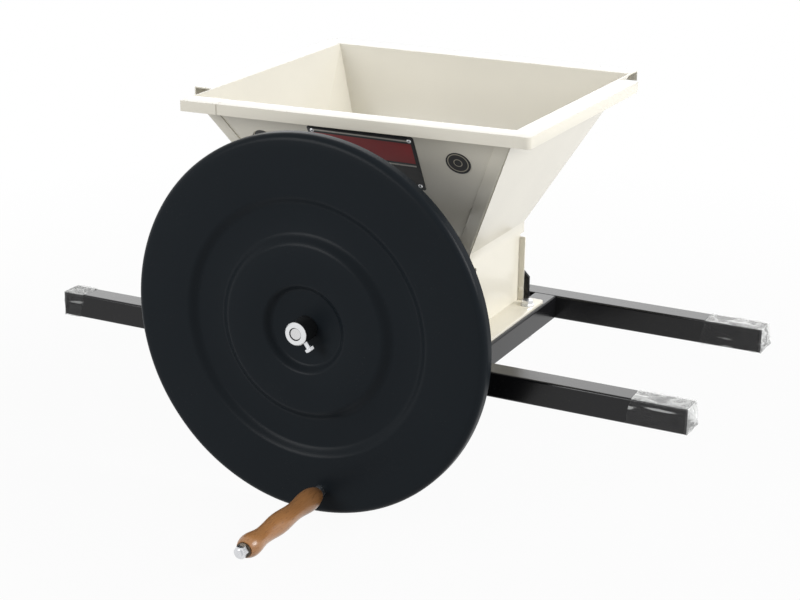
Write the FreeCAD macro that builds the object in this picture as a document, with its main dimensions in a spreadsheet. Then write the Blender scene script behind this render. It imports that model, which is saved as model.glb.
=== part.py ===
import FreeCAD, Part
import math
import os
import Sketcher

# Hand cranked apple scratter on two carrying rails.
# X runs along the rails, -Y points to the flywheel and the user, +Z is up.
# The origin lies midway between the undersides of the two rails, below the shaft.
# Each piece is drawn about the shaft's axis and lifted to that axis by its placement. Millimetres.

Vector = FreeCAD.Vector
Rotation = FreeCAD.Rotation
Placement = FreeCAD.Placement

SIZES = [
    # Carrying frame
    ("rail_length", 815), ("rail_size", 30), ("rail_wall", 2), ("rail_corner", 2.5),
    ("rail_gap", 257), ("axle_height", 53.5), ("crossbar_reach", 19.3),
    ("plug_head", 2.5), ("plug_depth", 14), ("plug_clearance", 0.15),
    # Base plate and its bolts
    ("base_reach", 30.8), ("base_depth", 196), ("base_thickness", 3), ("base_corner", 6),
    ("base_bolt_pitch", 146), ("base_bolt_shift", -3), ("base_bolt", 8), ("base_bolt_flats", 13),
    ("base_bolt_head", 5.3), ("base_washer", 17), ("washer_thickness", 1.6), ("bolt_clearance", 0.4),
    ("base_nut", 6.5), ("thread_over", 3),
    # Scratting chamber
    ("chamber_width", 217.4), ("chamber_depth", 148), ("chamber_shift", 12), ("side_thickness", 2),
    ("side_flange", 7.3), ("bearing_plate", 5), ("foot_reach", 13.3), ("foot_height", 30.5),
    ("shoulder_cut", 17), ("chamber_rivet", 4), ("rivet_head", 6.4), ("rivet_dome", 1.6),
    ("rivet_inset", 3.6),
    # Shaft bearings and collars
    ("shaft_diameter", 20), ("running_clearance", 0.05), ("seat_clearance", 0.05),
    ("bearing_body", 34), ("bearing_flange", 68), ("flange_thickness", 8), ("bearing_nose", 40),
    ("nose_length", 16), ("bearing_bolt", 6), ("bearing_bolt_circle", 54),
    ("bearing_bolt_flats", 10), ("bearing_bolt_head", 4),
    ("collar_diameter", 34), ("collar_width", 12), ("collar_gap", 0.5), ("collar_screw", 5),
    ("shaft_tail", 3),
    # Scratting drum
    ("drum_flats", 110), ("drum_wall", 4), ("drum_end_gap", 4), ("drum_disc", 6),
    ("drum_boss", 42), ("drum_boss_length", 16), ("drum_pin", 6),
    ("blade_foot", 24), ("blade_thickness", 3), ("blade_reach", 14), ("tooth_pitch", 14),
    ("tooth_gap", 6), ("tooth_depth", 7), ("blade_screw", 5), ("blade_screw_head", 8),
    ("screw_head_height", 2.6), ("comb_gap", 5), ("comb_thickness", 6), ("comb_leg", 22),
    ("comb_leg_thickness", 4), ("comb_tooth_depth", 12),
    # Hopper
    ("rim_height", 228), ("throat_height", 50), ("rim_width", 406), ("rim_depth", 352),
    ("hopper_wall", 1.5), ("hopper_flange", 27), ("hopper_lip", 13), ("hopper_skirt", 14),
    ("flange_joint", 8), ("open_corner", 42), ("lip_slit", 1), ("slit_inset", 49),
    ("skirt_clearance", 0.3), ("skirt_screw", 5), ("skirt_screw_head", 9),
    ("skirt_screw_pitch", 84), ("strap_width", 17), ("strap_foot", 9), ("strap_clearance", 0.1),
    # Blank plates on the front wall
    ("label_width", 135), ("label_height", 80), ("label_thickness", 0.8), ("label_top", 204.5),
    ("label_shift", 7.7), ("label_rivet", 3), ("label_rivet_head", 5.5), ("label_rivet_inset", 6),
    ("badge_diameter", 30), ("badge_offset", 124.5), ("badge_height", 177.3),
    # Flywheel
    ("wheel_diameter", 440), ("wheel_front", 266), ("wheel_sheet", 2), ("wheel_rim_depth", 16),
    ("wheel_edge_round", 7), ("ring_round", 3), ("recess_depth", 7), ("plateau_rise", 1),
    ("outer_step_inset", 69), ("outer_step_run", 8), ("plateau_inset", 123), ("plateau_run", 6),
    ("hub_recess_radius", 51), ("hub_recess_run", 5),
    ("hub_diameter", 27), ("hub_bore", 15), ("hub_reach", 18), ("hub_flange", 84),
    ("hub_flange_thickness", 5), ("hub_tail", 8), ("hub_chamfer", 1.2),
    ("hub_screw", 6), ("hub_screw_flats", 10), ("hub_screw_head", 4), ("hub_screw_reach", 7),
    ("hub_screw_angle", -53), ("hub_screw_setback", 9), ("shaft_flat", 0.5),
    ("shaft_setback", 1), ("shoulder_gap", 0.5),
    # Handle
    ("handle_inset", 27), ("handle_angle", 6), ("stud_diameter", 8), ("stud_nut_flats", 13),
    ("stud_nut", 6.5), ("grip_gap", 0.6), ("grip_length", 155), ("grip_end", 25),
    ("grip_neck", 21), ("grip_belly", 24.5), ("grip_face", 17), ("grip_tip", 19),
    ("grip_clearance", 0.08), ("grip_washer", 17), ("end_nut", 8), ("stud_over", 2),
]

# The turned grip's outline from the wheel outward: a share of its length and a diameter
GRIP_OUTLINE = [(0, "grip_face"), (0.1, "grip_end"), (0.3, "grip_neck"), (0.56, "grip_belly"),
                (0.8, "grip_neck"), (0.95, "grip_end"), (1, "grip_tip")]

# Top circle of a hexagon head or nut, as a share of the width across its flats
HEAD_TOP_SHARE = 0.96

# How far a cutting outline runs past what it cuts, and an extra that keeps faces apart
CUT_PAST = 1
SLIVER = 0.01

BLADE_COUNT = 4

doc = FreeCAD.newDocument("AppleScratter")
sheet = doc.addObject("Spreadsheet::Sheet", "Sizes")
for row, (size_name, size_value) in enumerate(SIZES, start=1):
    sheet.set("A%d" % row, size_name)
    sheet.set("B%d" % row, str(size_value))
    sheet.setAlias("B%d" % row, size_name)
doc.recompute()

subparts = []

# Height of the shaft's axis over the rails' undersides, which every placement adds
AXLE_Z = "(Sizes.axle_height + Sizes.rail_size)"

# Levels and places that several pieces share, measured from the shaft's axis
RAIL_CENTRE_Y = "(Sizes.rail_gap + Sizes.rail_size) / 2"
RAIL_CENTRE_Z = "(-Sizes.axle_height - Sizes.rail_size / 2)"
BASE_TOP = "(-Sizes.axle_height + Sizes.base_thickness)"
CHAMBER_FRONT = "(Sizes.chamber_shift - Sizes.chamber_depth / 2)"
CHAMBER_REAR = "(Sizes.chamber_shift + Sizes.chamber_depth / 2)"
SIDE_OUTER = "Sizes.chamber_width / 2"
SIDE_INNER = "(Sizes.chamber_width / 2 - Sizes.side_thickness)"
BASE_BOLT_X = "(%s + Sizes.crossbar_reach)" % SIDE_OUTER
BASE_BOLT_YS = ["(Sizes.base_bolt_shift + %d * Sizes.base_bolt_pitch / 2)" % way for way in (-1, 1)]
SKIRT_BOTTOM = "(Sizes.throat_height - Sizes.hopper_skirt)"
THROAT_X = "(Sizes.chamber_width / 2 + Sizes.skirt_clearance)"
THROAT_Y = "(Sizes.chamber_depth / 2 + Sizes.bearing_plate + Sizes.skirt_clearance)"
RIM_X = "Sizes.rim_width / 2"
RIM_Y = "Sizes.rim_depth / 2"
HOPPER_RISE = "(Sizes.rim_height - Sizes.throat_height)"
BLADE_TIP = "(Sizes.drum_flats / 2 + Sizes.blade_thickness + Sizes.blade_reach)"
DRUM_LENGTH = "(Sizes.chamber_depth - 2 * Sizes.drum_end_gap)"
WHEEL_Y = "-Sizes.wheel_front"
HUB_END = "(-Sizes.wheel_front - Sizes.hub_reach)"
HUB_BACK = "(-Sizes.wheel_front + Sizes.recess_depth + Sizes.wheel_sheet)"
HUB_TAIL = "(" + HUB_BACK + " + Sizes.hub_flange_thickness + Sizes.hub_tail)"
HUB_SCREW_Y = "(%s + Sizes.hub_screw_setback)" % HUB_END
RIVET_X = "(%s + Sizes.rivet_inset)" % SIDE_OUTER
RIVET_Z = "(%s + Sizes.foot_height / 2)" % BASE_TOP
SCREW_Z = "(Sizes.throat_height - Sizes.hopper_skirt / 2)"
BELOW_FLANGE = "(Sizes.rim_height - Sizes.hopper_wall)"
BLADE_RADIUS = "sqrt(pow(%s; 2) + pow(Sizes.blade_foot / 2; 2))" % BLADE_TIP
SHAFT_END = ("(%s + Sizes.bearing_plate + Sizes.nose_length + Sizes.collar_gap + Sizes.collar_width"
             " + Sizes.shaft_tail)" % CHAMBER_REAR)
HANDLE_RADIUS = "(Sizes.wheel_diameter / 2 - Sizes.handle_inset)"
HANDLE_X = "(%s * sin(Sizes.handle_angle * 1 deg))" % HANDLE_RADIUS
HANDLE_Z = "(-%s * cos(Sizes.handle_angle * 1 deg))" % HANDLE_RADIUS


def value(expression):
    """The number that an expression of the sheet has now."""
    result = sheet.evalExpression(str(expression))
    return float(getattr(result, "Value", result))


def size(name):
    """One size of the sheet, for shapes that are made by functions."""
    return value("Sizes." + name)


def negative(expression):
    return "-(%s)" % expression


def signed(sign, expression):
    """The expression itself or its negative, for left and right or front and rear."""
    return "%d * (%s)" % (sign, expression)


def new_body(label):
    body = doc.addObject("PartDesign::Body", label)
    body.Label = label
    place(body)
    subparts.append(body)
    return body


def place(body, x="0", y="0", z="0"):
    """Place a body by expressions measured from the shaft's axis."""
    for axis, expression in zip("xyz", (x, y, "%s + %s" % (AXLE_Z, z))):
        body.setExpression("Placement.Base." + axis, expression)


def new_sketch(body, name, role, offset="0"):
    """An empty sketch on one of the body's own origin planes, moved along its normal."""
    sketch = body.newObject("Sketcher::SketchObject", body.Label + "_" + name)
    plane = [item for item in body.Origin.OriginFeatures if item.Role == role][0]
    sketch.AttachmentSupport = [(plane, "")]
    sketch.MapMode = "FlatFace"
    sketch.setExpression("AttachmentOffset.Base.z", offset)
    return sketch


def turn_to_screw(sketch, reach):
    """Turn a sketch on the YZ plane about the shaft to face the hub's screw, at a reach."""
    angle = "(-Sizes.hub_screw_angle)"
    sketch.AttachmentOffset = Placement(Vector(), Rotation(Vector(1, 0, 0), value(angle)))
    sketch.setExpression("AttachmentOffset.Rotation.Angle", angle)
    sketch.setExpression("AttachmentOffset.Base.y", "-%s * sin(%s * 1 deg)" % (reach, angle))
    sketch.setExpression("AttachmentOffset.Base.z", "%s * cos(%s * 1 deg)" % (reach, angle))
    doc.recompute()


def fix_point(sketch, geometry, point, corner):
    """Bind both coordinates of a sketch point to expressions of the sheet."""
    for kind, expression in zip(("DistanceX", "DistanceY"), corner):
        rule = Sketcher.Constraint(kind, -1, 1, geometry, point, value(expression))
        index = sketch.addConstraint(rule)
        sketch.setExpression("Constraints[%d]" % index, expression)


def add_polygon(sketch, corners):
    """A closed outline whose corners are pairs of expressions."""
    first = sketch.GeometryCount
    count = len(corners)
    places = [Vector(value(x), value(y), 0) for x, y in corners]
    for index in range(count):
        line = Part.LineSegment(places[index], places[(index + 1) % count])
        sketch.addGeometry(line, False)
    for index in range(count):
        following = first + (index + 1) % count
        sketch.addConstraint(Sketcher.Constraint("Coincident", first + index, 2, following, 1))
    for index, corner in enumerate(corners):
        fix_point(sketch, first + index, 1, corner)


def add_rectangle(sketch, x_low, x_high, y_low, y_high):
    add_polygon(sketch, [(x_low, y_low), (x_high, y_low), (x_high, y_high), (x_low, y_high)])


def add_circle(sketch, x, y, diameter):
    centre = Vector(value(x), value(y), 0)
    circle = Part.Circle(centre, Vector(0, 0, 1), value(diameter) / 2)
    index = sketch.addGeometry(circle, False)
    fix_point(sketch, index, 3, (x, y))
    rule = sketch.addConstraint(Sketcher.Constraint("Diameter", index, value(diameter)))
    sketch.setExpression("Constraints[%d]" % rule, diameter)


def pad(body, sketch, length, symmetric=False, reverse=False):
    feature = body.newObject("PartDesign::Pad", sketch.Label + "_pad")
    feature.Profile = sketch
    feature.SideType = "Symmetric" if symmetric else "One side"
    feature.Reversed = reverse
    feature.setExpression("Length", length)
    doc.recompute()
    return feature


def pocket(body, sketch, length=None, symmetric=False, reverse=False):
    """Cut a sketch into the body, to a length or right through, and see that it did cut."""
    before = body.Shape.Volume
    feature = body.newObject("PartDesign::Pocket", sketch.Label + "_pocket")
    feature.Profile = sketch
    feature.SideType = "Symmetric" if symmetric else "One side"
    feature.Reversed = reverse
    if length is None:
        feature.Type = "ThroughAll"
    else:
        feature.setExpression("Length", length)
    doc.recompute()
    if body.Shape.Volume >= before:
        raise RuntimeError("nothing was cut by " + sketch.Label)
    return feature


def revolve(body, sketch, axis="V_Axis"):
    feature = body.newObject("PartDesign::Revolution", sketch.Label + "_turn")
    feature.Profile = sketch
    feature.ReferenceAxis = (sketch, [axis])
    feature.Angle = 360
    doc.recompute()
    return feature


def round_edges(body, name, chosen, radius):
    """Fillet the edges of the body's last feature that the test picks out."""
    base = body.Tip
    picked = ["Edge%d" % (i + 1) for i, edge in enumerate(base.Shape.Edges) if chosen(edge)]
    feature = body.newObject("PartDesign::Fillet", body.Label + "_" + name)
    feature.Base = (base, picked)
    feature.setExpression("Radius", radius)
    doc.recompute()
    return feature


def runs_along(edge, direction):
    """True for a straight edge parallel to a direction."""
    if edge.Curve.TypeId != "Part::GeomLine":
        return False
    return abs(abs(edge.Curve.Direction.dot(direction)) - 1) < 1e-6


def add_solid(label, shape, placement=None):
    """A sub-part whose shape is made by a function from the sheet's sizes."""
    feature = doc.addObject("Part::Feature", label)
    feature.Label = label
    feature.Shape = shape
    lift = Placement(Vector(0, 0, value(AXLE_Z)), Rotation())
    feature.Placement = lift * (shape.Placement if placement is None else placement)
    subparts.append(feature)
    return feature


def cylinder(diameter, length, base=Vector(0, 0, 0), axis=Vector(0, 0, 1)):
    return Part.makeCylinder(diameter / 2, length, base, axis)


def hexagon(flats, height):
    """A hexagonal prism on the XY plane, measured across its flats."""
    radius = flats / math.sqrt(3)
    angles = [math.radians(60 * index) for index in range(7)]
    corners = [Vector(radius * math.cos(angle), radius * math.sin(angle), 0) for angle in angles]
    return Part.Face(Part.makePolygon(corners)).extrude(Vector(0, 0, height))


def hex_head(flats, height):
    """A hexagonal head or nut blank with its top corners turned off."""
    cone_top = flats / 2 * HEAD_TOP_SHARE
    cone = Part.makeCone(cone_top + height, cone_top, height)
    return hexagon(flats, height).common(cone)


def hex_nut(flats, height, thread):
    return hex_head(flats, height).cut(cylinder(thread, height))


def washer(outer, bore, thickness):
    return cylinder(outer, thickness).cut(cylinder(bore, thickness))


def dome_head(diameter, height):
    """A low round head standing on the XY plane."""
    sphere_radius = (diameter * diameter / 4 + height * height) / (2 * height)
    ball = Part.makeSphere(sphere_radius, Vector(0, 0, height - sphere_radius))
    return ball.common(cylinder(diameter, height))


def turned_to(shape, axis, base):
    """A copy of a shape made along +Z, turned to an axis and moved to a base point."""
    copy = shape.copy()
    copy.Placement = Placement(base, Rotation(Vector(0, 0, 1), axis))
    return copy


def build_rail(label, side):
    """Square tube that carries the mill across a tub. side is -1 in front and 1 at the rear."""
    body = new_body(label)
    sketch = new_sketch(body, "section", "YZ_Plane")
    half = "Sizes.rail_size / 2"
    inner = "(Sizes.rail_size / 2 - Sizes.rail_wall)"
    add_rectangle(sketch, negative(half), half, negative(half), half)
    add_rectangle(sketch, negative(inner), inner, negative(inner), inner)
    pad(body, sketch, "Sizes.rail_length", symmetric=True)
    outside = size("rail_size") / 2 - SLIVER
    round_edges(body, "corners", lambda edge: runs_along(edge, Vector(1, 0, 0))
                and abs(edge.CenterOfMass.y) > outside, "Sizes.rail_corner")
    place(body, y=signed(side, RAIL_CENTRE_Y), z=RAIL_CENTRE_Z)


def build_crossbar(label, side):
    """Square tube between the rails, under one end of the base plate."""
    body = new_body(label)
    sketch = new_sketch(body, "section", "XZ_Plane")
    half = "Sizes.rail_size / 2"
    inner = "(Sizes.rail_size / 2 - Sizes.rail_wall)"
    add_rectangle(sketch, negative(half), half, negative(half), half)
    add_rectangle(sketch, negative(inner), inner, negative(inner), inner)
    pad(body, sketch, "Sizes.rail_gap", symmetric=True)
    outside = size("rail_size") / 2 - SLIVER
    round_edges(body, "corners", lambda edge: runs_along(edge, Vector(0, 1, 0))
                and abs(edge.CenterOfMass.x) > outside, "Sizes.rail_corner")
    holes = new_sketch(body, "bolt_holes", "XY_Plane")
    for bolt_y in BASE_BOLT_YS:
        add_circle(holes, "0", bolt_y, "Sizes.base_bolt + Sizes.bolt_clearance")
    pocket(body, holes, "2 * Sizes.rail_size", symmetric=True)
    place(body, x=signed(side, BASE_BOLT_X), z=RAIL_CENTRE_Z)


def build_rail_plugs():
    """Square plastic plugs in the four open rail ends."""
    rail = size("rail_size")
    bore = rail - 2 * size("rail_wall") - 2 * size("plug_clearance")
    head = Part.makeBox(size("plug_head"), rail, rail, Vector(0, -rail / 2, -rail / 2))
    head = head.makeFillet(size("rail_corner"), [edge for edge in head.Edges
                                                 if runs_along(edge, Vector(1, 0, 0))])
    depth = size("plug_depth")
    plug = head.fuse(Part.makeBox(depth, bore, bore, Vector(-depth, -bore / 2, -bore / 2)))
    plugs = []
    for x_side in (-1, 1):
        x = x_side * size("rail_length") / 2
        for y_side in (-1, 1):
            copy = plug.copy()
            turn = Rotation(Vector(0, 0, 1), 0 if x_side > 0 else 180)
            spot = Vector(x, y_side * value(RAIL_CENTRE_Y), value(RAIL_CENTRE_Z))
            copy.Placement = Placement(spot, turn)
            plugs.append(copy)
    add_solid("rail_end_plugs", Part.makeCompound(plugs))


def build_base_plate():
    """Flat plate on the crossbars, open under the drum."""
    body = new_body("base_plate")
    sketch = new_sketch(body, "outline", "XY_Plane", "-Sizes.axle_height")
    half_x = "(%s + Sizes.base_reach)" % SIDE_OUTER
    half_y = "Sizes.base_depth / 2"
    add_rectangle(sketch, negative(half_x), half_x, negative(half_y), half_y)
    add_rectangle(sketch, negative(SIDE_INNER), SIDE_INNER, CHAMBER_FRONT, CHAMBER_REAR)
    for x_side in (-1, 1):
        for bolt_y in BASE_BOLT_YS:
            add_circle(sketch, signed(x_side, BASE_BOLT_X), bolt_y, "Sizes.base_bolt + Sizes.bolt_clearance")
    pad(body, sketch, "Sizes.base_thickness")
    outside = value(half_x) - SLIVER
    round_edges(body, "corners", lambda edge: runs_along(edge, Vector(0, 0, 1))
                and abs(edge.CenterOfMass.x) > outside, "Sizes.base_corner")


def base_bolt_spots(z):
    x = value(BASE_BOLT_X)
    return [Vector(i * x, value(bolt_y), z) for i in (-1, 1) for bolt_y in BASE_BOLT_YS]


def build_base_fasteners():
    """Four hexagon bolts through base plate and crossbars, with washers and nuts."""
    diameter = size("base_bolt")
    thickness = size("washer_thickness")
    top = value(BASE_TOP) + thickness
    bottom = -size("axle_height") - size("rail_size") - thickness
    shank_length = top - bottom + size("base_nut") + size("thread_over")
    bolt = hex_head(size("base_bolt_flats"), size("base_bolt_head"))
    bolt = bolt.fuse(cylinder(diameter, shank_length, Vector(0, 0, -shank_length)))
    bolts = [turned_to(bolt, Vector(0, 0, 1), spot) for spot in base_bolt_spots(top)]
    add_solid("base_bolts", Part.makeCompound(bolts))
    ring = washer(size("base_washer"), diameter + size("bolt_clearance"), thickness)
    washers = [turned_to(ring, Vector(0, 0, 1), spot)
               for spot in base_bolt_spots(top - thickness) + base_bolt_spots(bottom)]
    add_solid("base_washers", Part.makeCompound(washers))
    nut = hex_nut(size("base_bolt_flats"), size("base_nut"), diameter)
    nuts = [turned_to(nut, Vector(0, 0, -1), spot) for spot in base_bolt_spots(bottom)]
    add_solid("base_nuts", Part.makeCompound(nuts))


def build_side_plate(label, side):
    """Upright chamber side with a flange turned outward at each end."""
    body = new_body(label)
    outline = new_sketch(body, "channel", "XY_Plane", BASE_TOP)
    thickness = "Sizes.side_thickness"
    flange = "(%s + Sizes.side_flange)" % SIDE_OUTER
    front_inner = "(%s + %s)" % (CHAMBER_FRONT, thickness)
    rear_inner = "(%s - %s)" % (CHAMBER_REAR, thickness)
    corners = [(SIDE_INNER, CHAMBER_FRONT), (flange, CHAMBER_FRONT), (flange, front_inner),
               (SIDE_OUTER, front_inner), (SIDE_OUTER, rear_inner), (flange, rear_inner),
               (flange, CHAMBER_REAR), (SIDE_INNER, CHAMBER_REAR)]
    add_polygon(outline, [(signed(side, x), y) for x, y in corners])
    flange_top = "(%s - 2 * %s)" % (SKIRT_BOTTOM, thickness)
    pad(body, outline, "%s - %s" % (flange_top, BASE_TOP))
    web = new_sketch(body, "web", "XY_Plane", flange_top)
    add_rectangle(web, signed(side, SIDE_INNER), signed(side, SIDE_OUTER), CHAMBER_FRONT, CHAMBER_REAR)
    pad(body, web, "Sizes.throat_height - %s" % flange_top)
    holes = new_sketch(body, "rivet_holes", "XZ_Plane")
    add_circle(holes, signed(side, RIVET_X), RIVET_Z, "Sizes.chamber_rivet")
    pocket(body, holes, "4 * Sizes.chamber_depth", symmetric=True)


def build_bearing_plate(label, side):
    """End plate of the chamber, wide at its foot, that carries a shaft bearing."""
    body = new_body(label)
    inner_face = CHAMBER_FRONT if side < 0 else CHAMBER_REAR
    outline = new_sketch(body, "outline", "XZ_Plane", negative(inner_face))
    foot = "(%s + Sizes.foot_reach)" % SIDE_OUTER
    foot_top = "(%s + Sizes.foot_height)" % BASE_TOP
    neck = "(%s - Sizes.shoulder_cut)" % foot
    neck_bottom = "(%s + Sizes.shoulder_cut)" % foot_top
    right_side = [(foot, BASE_TOP), (foot, foot_top), (neck, neck_bottom), (neck, "Sizes.throat_height")]
    left_side = [(negative(x), z) for x, z in reversed(right_side)]
    add_polygon(outline, right_side + left_side)
    add_circle(outline, "0", "0", "Sizes.bearing_body + 2 * Sizes.seat_clearance")
    for x_side in (-1, 1):
        add_circle(outline, signed(x_side, RIVET_X), RIVET_Z, "Sizes.chamber_rivet")
    for x, z in bearing_bolt_places():
        add_circle(outline, x, z, "Sizes.bearing_bolt")
    pad(body, outline, "Sizes.bearing_plate", reverse=(side > 0))
    screw_holes = new_sketch(body, "screw_holes", "XZ_Plane", negative(inner_face))
    for end in (-1, 1):
        add_circle(screw_holes, signed(end, "Sizes.skirt_screw_pitch / 2"), SCREW_Z, "Sizes.skirt_screw")
    pocket(body, screw_holes, "2 * Sizes.bearing_plate", symmetric=True)


def bearing_bolt_places():
    """Four places on the bearing's bolt circle, as pairs of expressions in X and Z."""
    reach = "(Sizes.bearing_bolt_circle / 2 * sin(45 deg))"
    return [(signed(i, reach), signed(j, reach)) for i in (-1, 1) for j in (-1, 1)]


def build_chamber_rivets():
    """Rivets that join the side plates' flanges to the feet of the bearing plates."""
    head = dome_head(size("rivet_head"), size("rivet_dome"))
    grip = size("bearing_plate") + size("side_thickness")
    far_head = turned_to(head, Vector(0, 0, -1), Vector(0, 0, 0))
    near_head = turned_to(head, Vector(0, 0, 1), Vector(0, 0, grip))
    rivet = cylinder(size("chamber_rivet"), grip).fuse([far_head, near_head])
    rivets = []
    for x_side in (-1, 1):
        x = x_side * value(RIVET_X)
        front = Vector(x, value(CHAMBER_FRONT) + size("side_thickness"), value(RIVET_Z))
        rear = Vector(x, value(CHAMBER_REAR) - size("side_thickness"), value(RIVET_Z))
        rivets.append(turned_to(rivet, Vector(0, -1, 0), front))
        rivets.append(turned_to(rivet, Vector(0, 1, 0), rear))
    add_solid("chamber_rivets", Part.makeCompound(rivets))


def build_bearing(label, side):
    """Flanged plain bearing on the outside of a bearing plate."""
    body = new_body(label)
    sketch = new_sketch(body, "section", "XY_Plane")
    bore = "(Sizes.shaft_diameter / 2 + Sizes.running_clearance)"
    seat = "Sizes.bearing_body / 2"
    flange = "Sizes.bearing_flange / 2"
    nose = "Sizes.bearing_nose / 2"
    inner_face = CHAMBER_FRONT if side < 0 else CHAMBER_REAR
    levels = ["0", "Sizes.bearing_plate", "(Sizes.bearing_plate + Sizes.flange_thickness)",
              "(Sizes.bearing_plate + Sizes.nose_length)"]
    inside, plate_face, flange_face, nose_face = ["%s + %s" % (inner_face, signed(side, level))
                                                  for level in levels]
    add_polygon(sketch, [(bore, inside), (seat, inside), (seat, plate_face), (flange, plate_face),
                         (flange, flange_face), (nose, flange_face), (nose, nose_face), (bore, nose_face)])
    revolve(body, sketch)
    holes = new_sketch(body, "bolt_holes", "XZ_Plane")
    for x, z in bearing_bolt_places():
        add_circle(holes, x, z, "Sizes.bearing_bolt + Sizes.bolt_clearance")
    pocket(body, holes, "2 * Sizes.chamber_depth", symmetric=True)


def build_bearing_bolts():
    """Hexagon bolts that hold both bearings, screwed into the bearing plates."""
    head = hex_head(size("bearing_bolt_flats"), size("bearing_bolt_head"))
    shank = size("flange_thickness") + size("bearing_plate")
    bolt = head.fuse(cylinder(size("bearing_bolt"), shank, Vector(0, 0, -shank)))
    bolts = []
    for side, face in ((-1, CHAMBER_FRONT), (1, CHAMBER_REAR)):
        y = value(face) + side * shank
        for x, z in bearing_bolt_places():
            bolts.append(turned_to(bolt, Vector(0, side, 0), Vector(value(x), y, value(z))))
    add_solid("bearing_bolts", Part.makeCompound(bolts))


def build_comb(label, side):
    """Toothed bar beside the drum that stops the apples while the blades pass."""
    body = new_body(label)
    bar = new_sketch(body, "bar", "XY_Plane", "-Sizes.comb_thickness / 2")
    tip = "(%s + Sizes.comb_gap)" % BLADE_RADIUS
    root = "(%s + Sizes.comb_tooth_depth)" % tip
    teeth = int(value("(%s - Sizes.tooth_pitch) / Sizes.tooth_pitch" % DRUM_LENGTH))
    front = "(%s + Sizes.drum_end_gap)" % CHAMBER_FRONT
    rear = "(%s - Sizes.drum_end_gap)" % CHAMBER_REAR
    corners = [(SIDE_INNER, front), (tip, front)]
    for index in range(teeth):
        start = "(%s + %d * Sizes.tooth_pitch + Sizes.tooth_pitch - Sizes.tooth_gap)" % (front, index)
        end = "(%s + %d * Sizes.tooth_pitch)" % (front, index + 1)
        corners += [(tip, start), (root, start), (root, end), (tip, end)]
    corners += [(tip, rear), (SIDE_INNER, rear)]
    add_polygon(bar, [(signed(side, x), y) for x, y in corners])
    pad(body, bar, "Sizes.comb_thickness")
    leg = new_sketch(body, "leg", "XZ_Plane", negative(rear))
    leg_inner = "(%s - Sizes.comb_leg_thickness)" % SIDE_INNER
    add_rectangle(leg, signed(side, leg_inner), signed(side, SIDE_INNER), "-Sizes.comb_leg",
                  "-Sizes.comb_thickness / 2")
    pad(body, leg, DRUM_LENGTH)


def slope(rim, throat):
    """How far a hopper wall leans outward per millimetre of height."""
    return "((%s - %s) / %s)" % (rim, throat, HOPPER_RISE)


def lean(rim, throat):
    """Angle of a hopper wall from the vertical, in degrees."""
    return "atan(%s)" % slope(rim, throat)


def level_thickness(rim, throat):
    """Thickness of a leaning hopper wall measured along the level."""
    return "(Sizes.hopper_wall / cos(%s))" % lean(rim, throat)


def wall_profile(rim, throat):
    """Folded sheet section of a hopper wall: skirt, slope, flange and lip, as outward and up."""
    sheet_t = "Sizes.hopper_wall"
    outer = level_thickness(rim, throat)
    edge = "(%s + Sizes.hopper_flange)" % rim
    lip_bottom = "(Sizes.rim_height - Sizes.hopper_lip)"
    slope_top = outer_slope_top(rim, throat)
    fold = "(Sizes.throat_height - (%s - %s) / %s)" % (outer, sheet_t, slope(rim, throat))
    skirt_outer = "(%s + %s)" % (throat, sheet_t)
    return [(throat, SKIRT_BOTTOM), (throat, "Sizes.throat_height"), (rim, "Sizes.rim_height"),
            (edge, "Sizes.rim_height"), (edge, lip_bottom), ("(%s - %s)" % (edge, sheet_t), lip_bottom),
            ("(%s - %s)" % (edge, sheet_t), BELOW_FLANGE), (slope_top, BELOW_FLANGE),
            (skirt_outer, fold), (skirt_outer, SKIRT_BOTTOM)]


def outer_slope_top(rim, throat):
    """Where the outer face of a wall's slope meets the underside of its flange."""
    return "(%s - %s * Sizes.hopper_wall + %s)" % (rim, slope(rim, throat), level_thickness(rim, throat))


OPEN_END = "(%s + %s)" % (RIM_X, level_thickness(RIM_X, THROAT_X))


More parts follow.
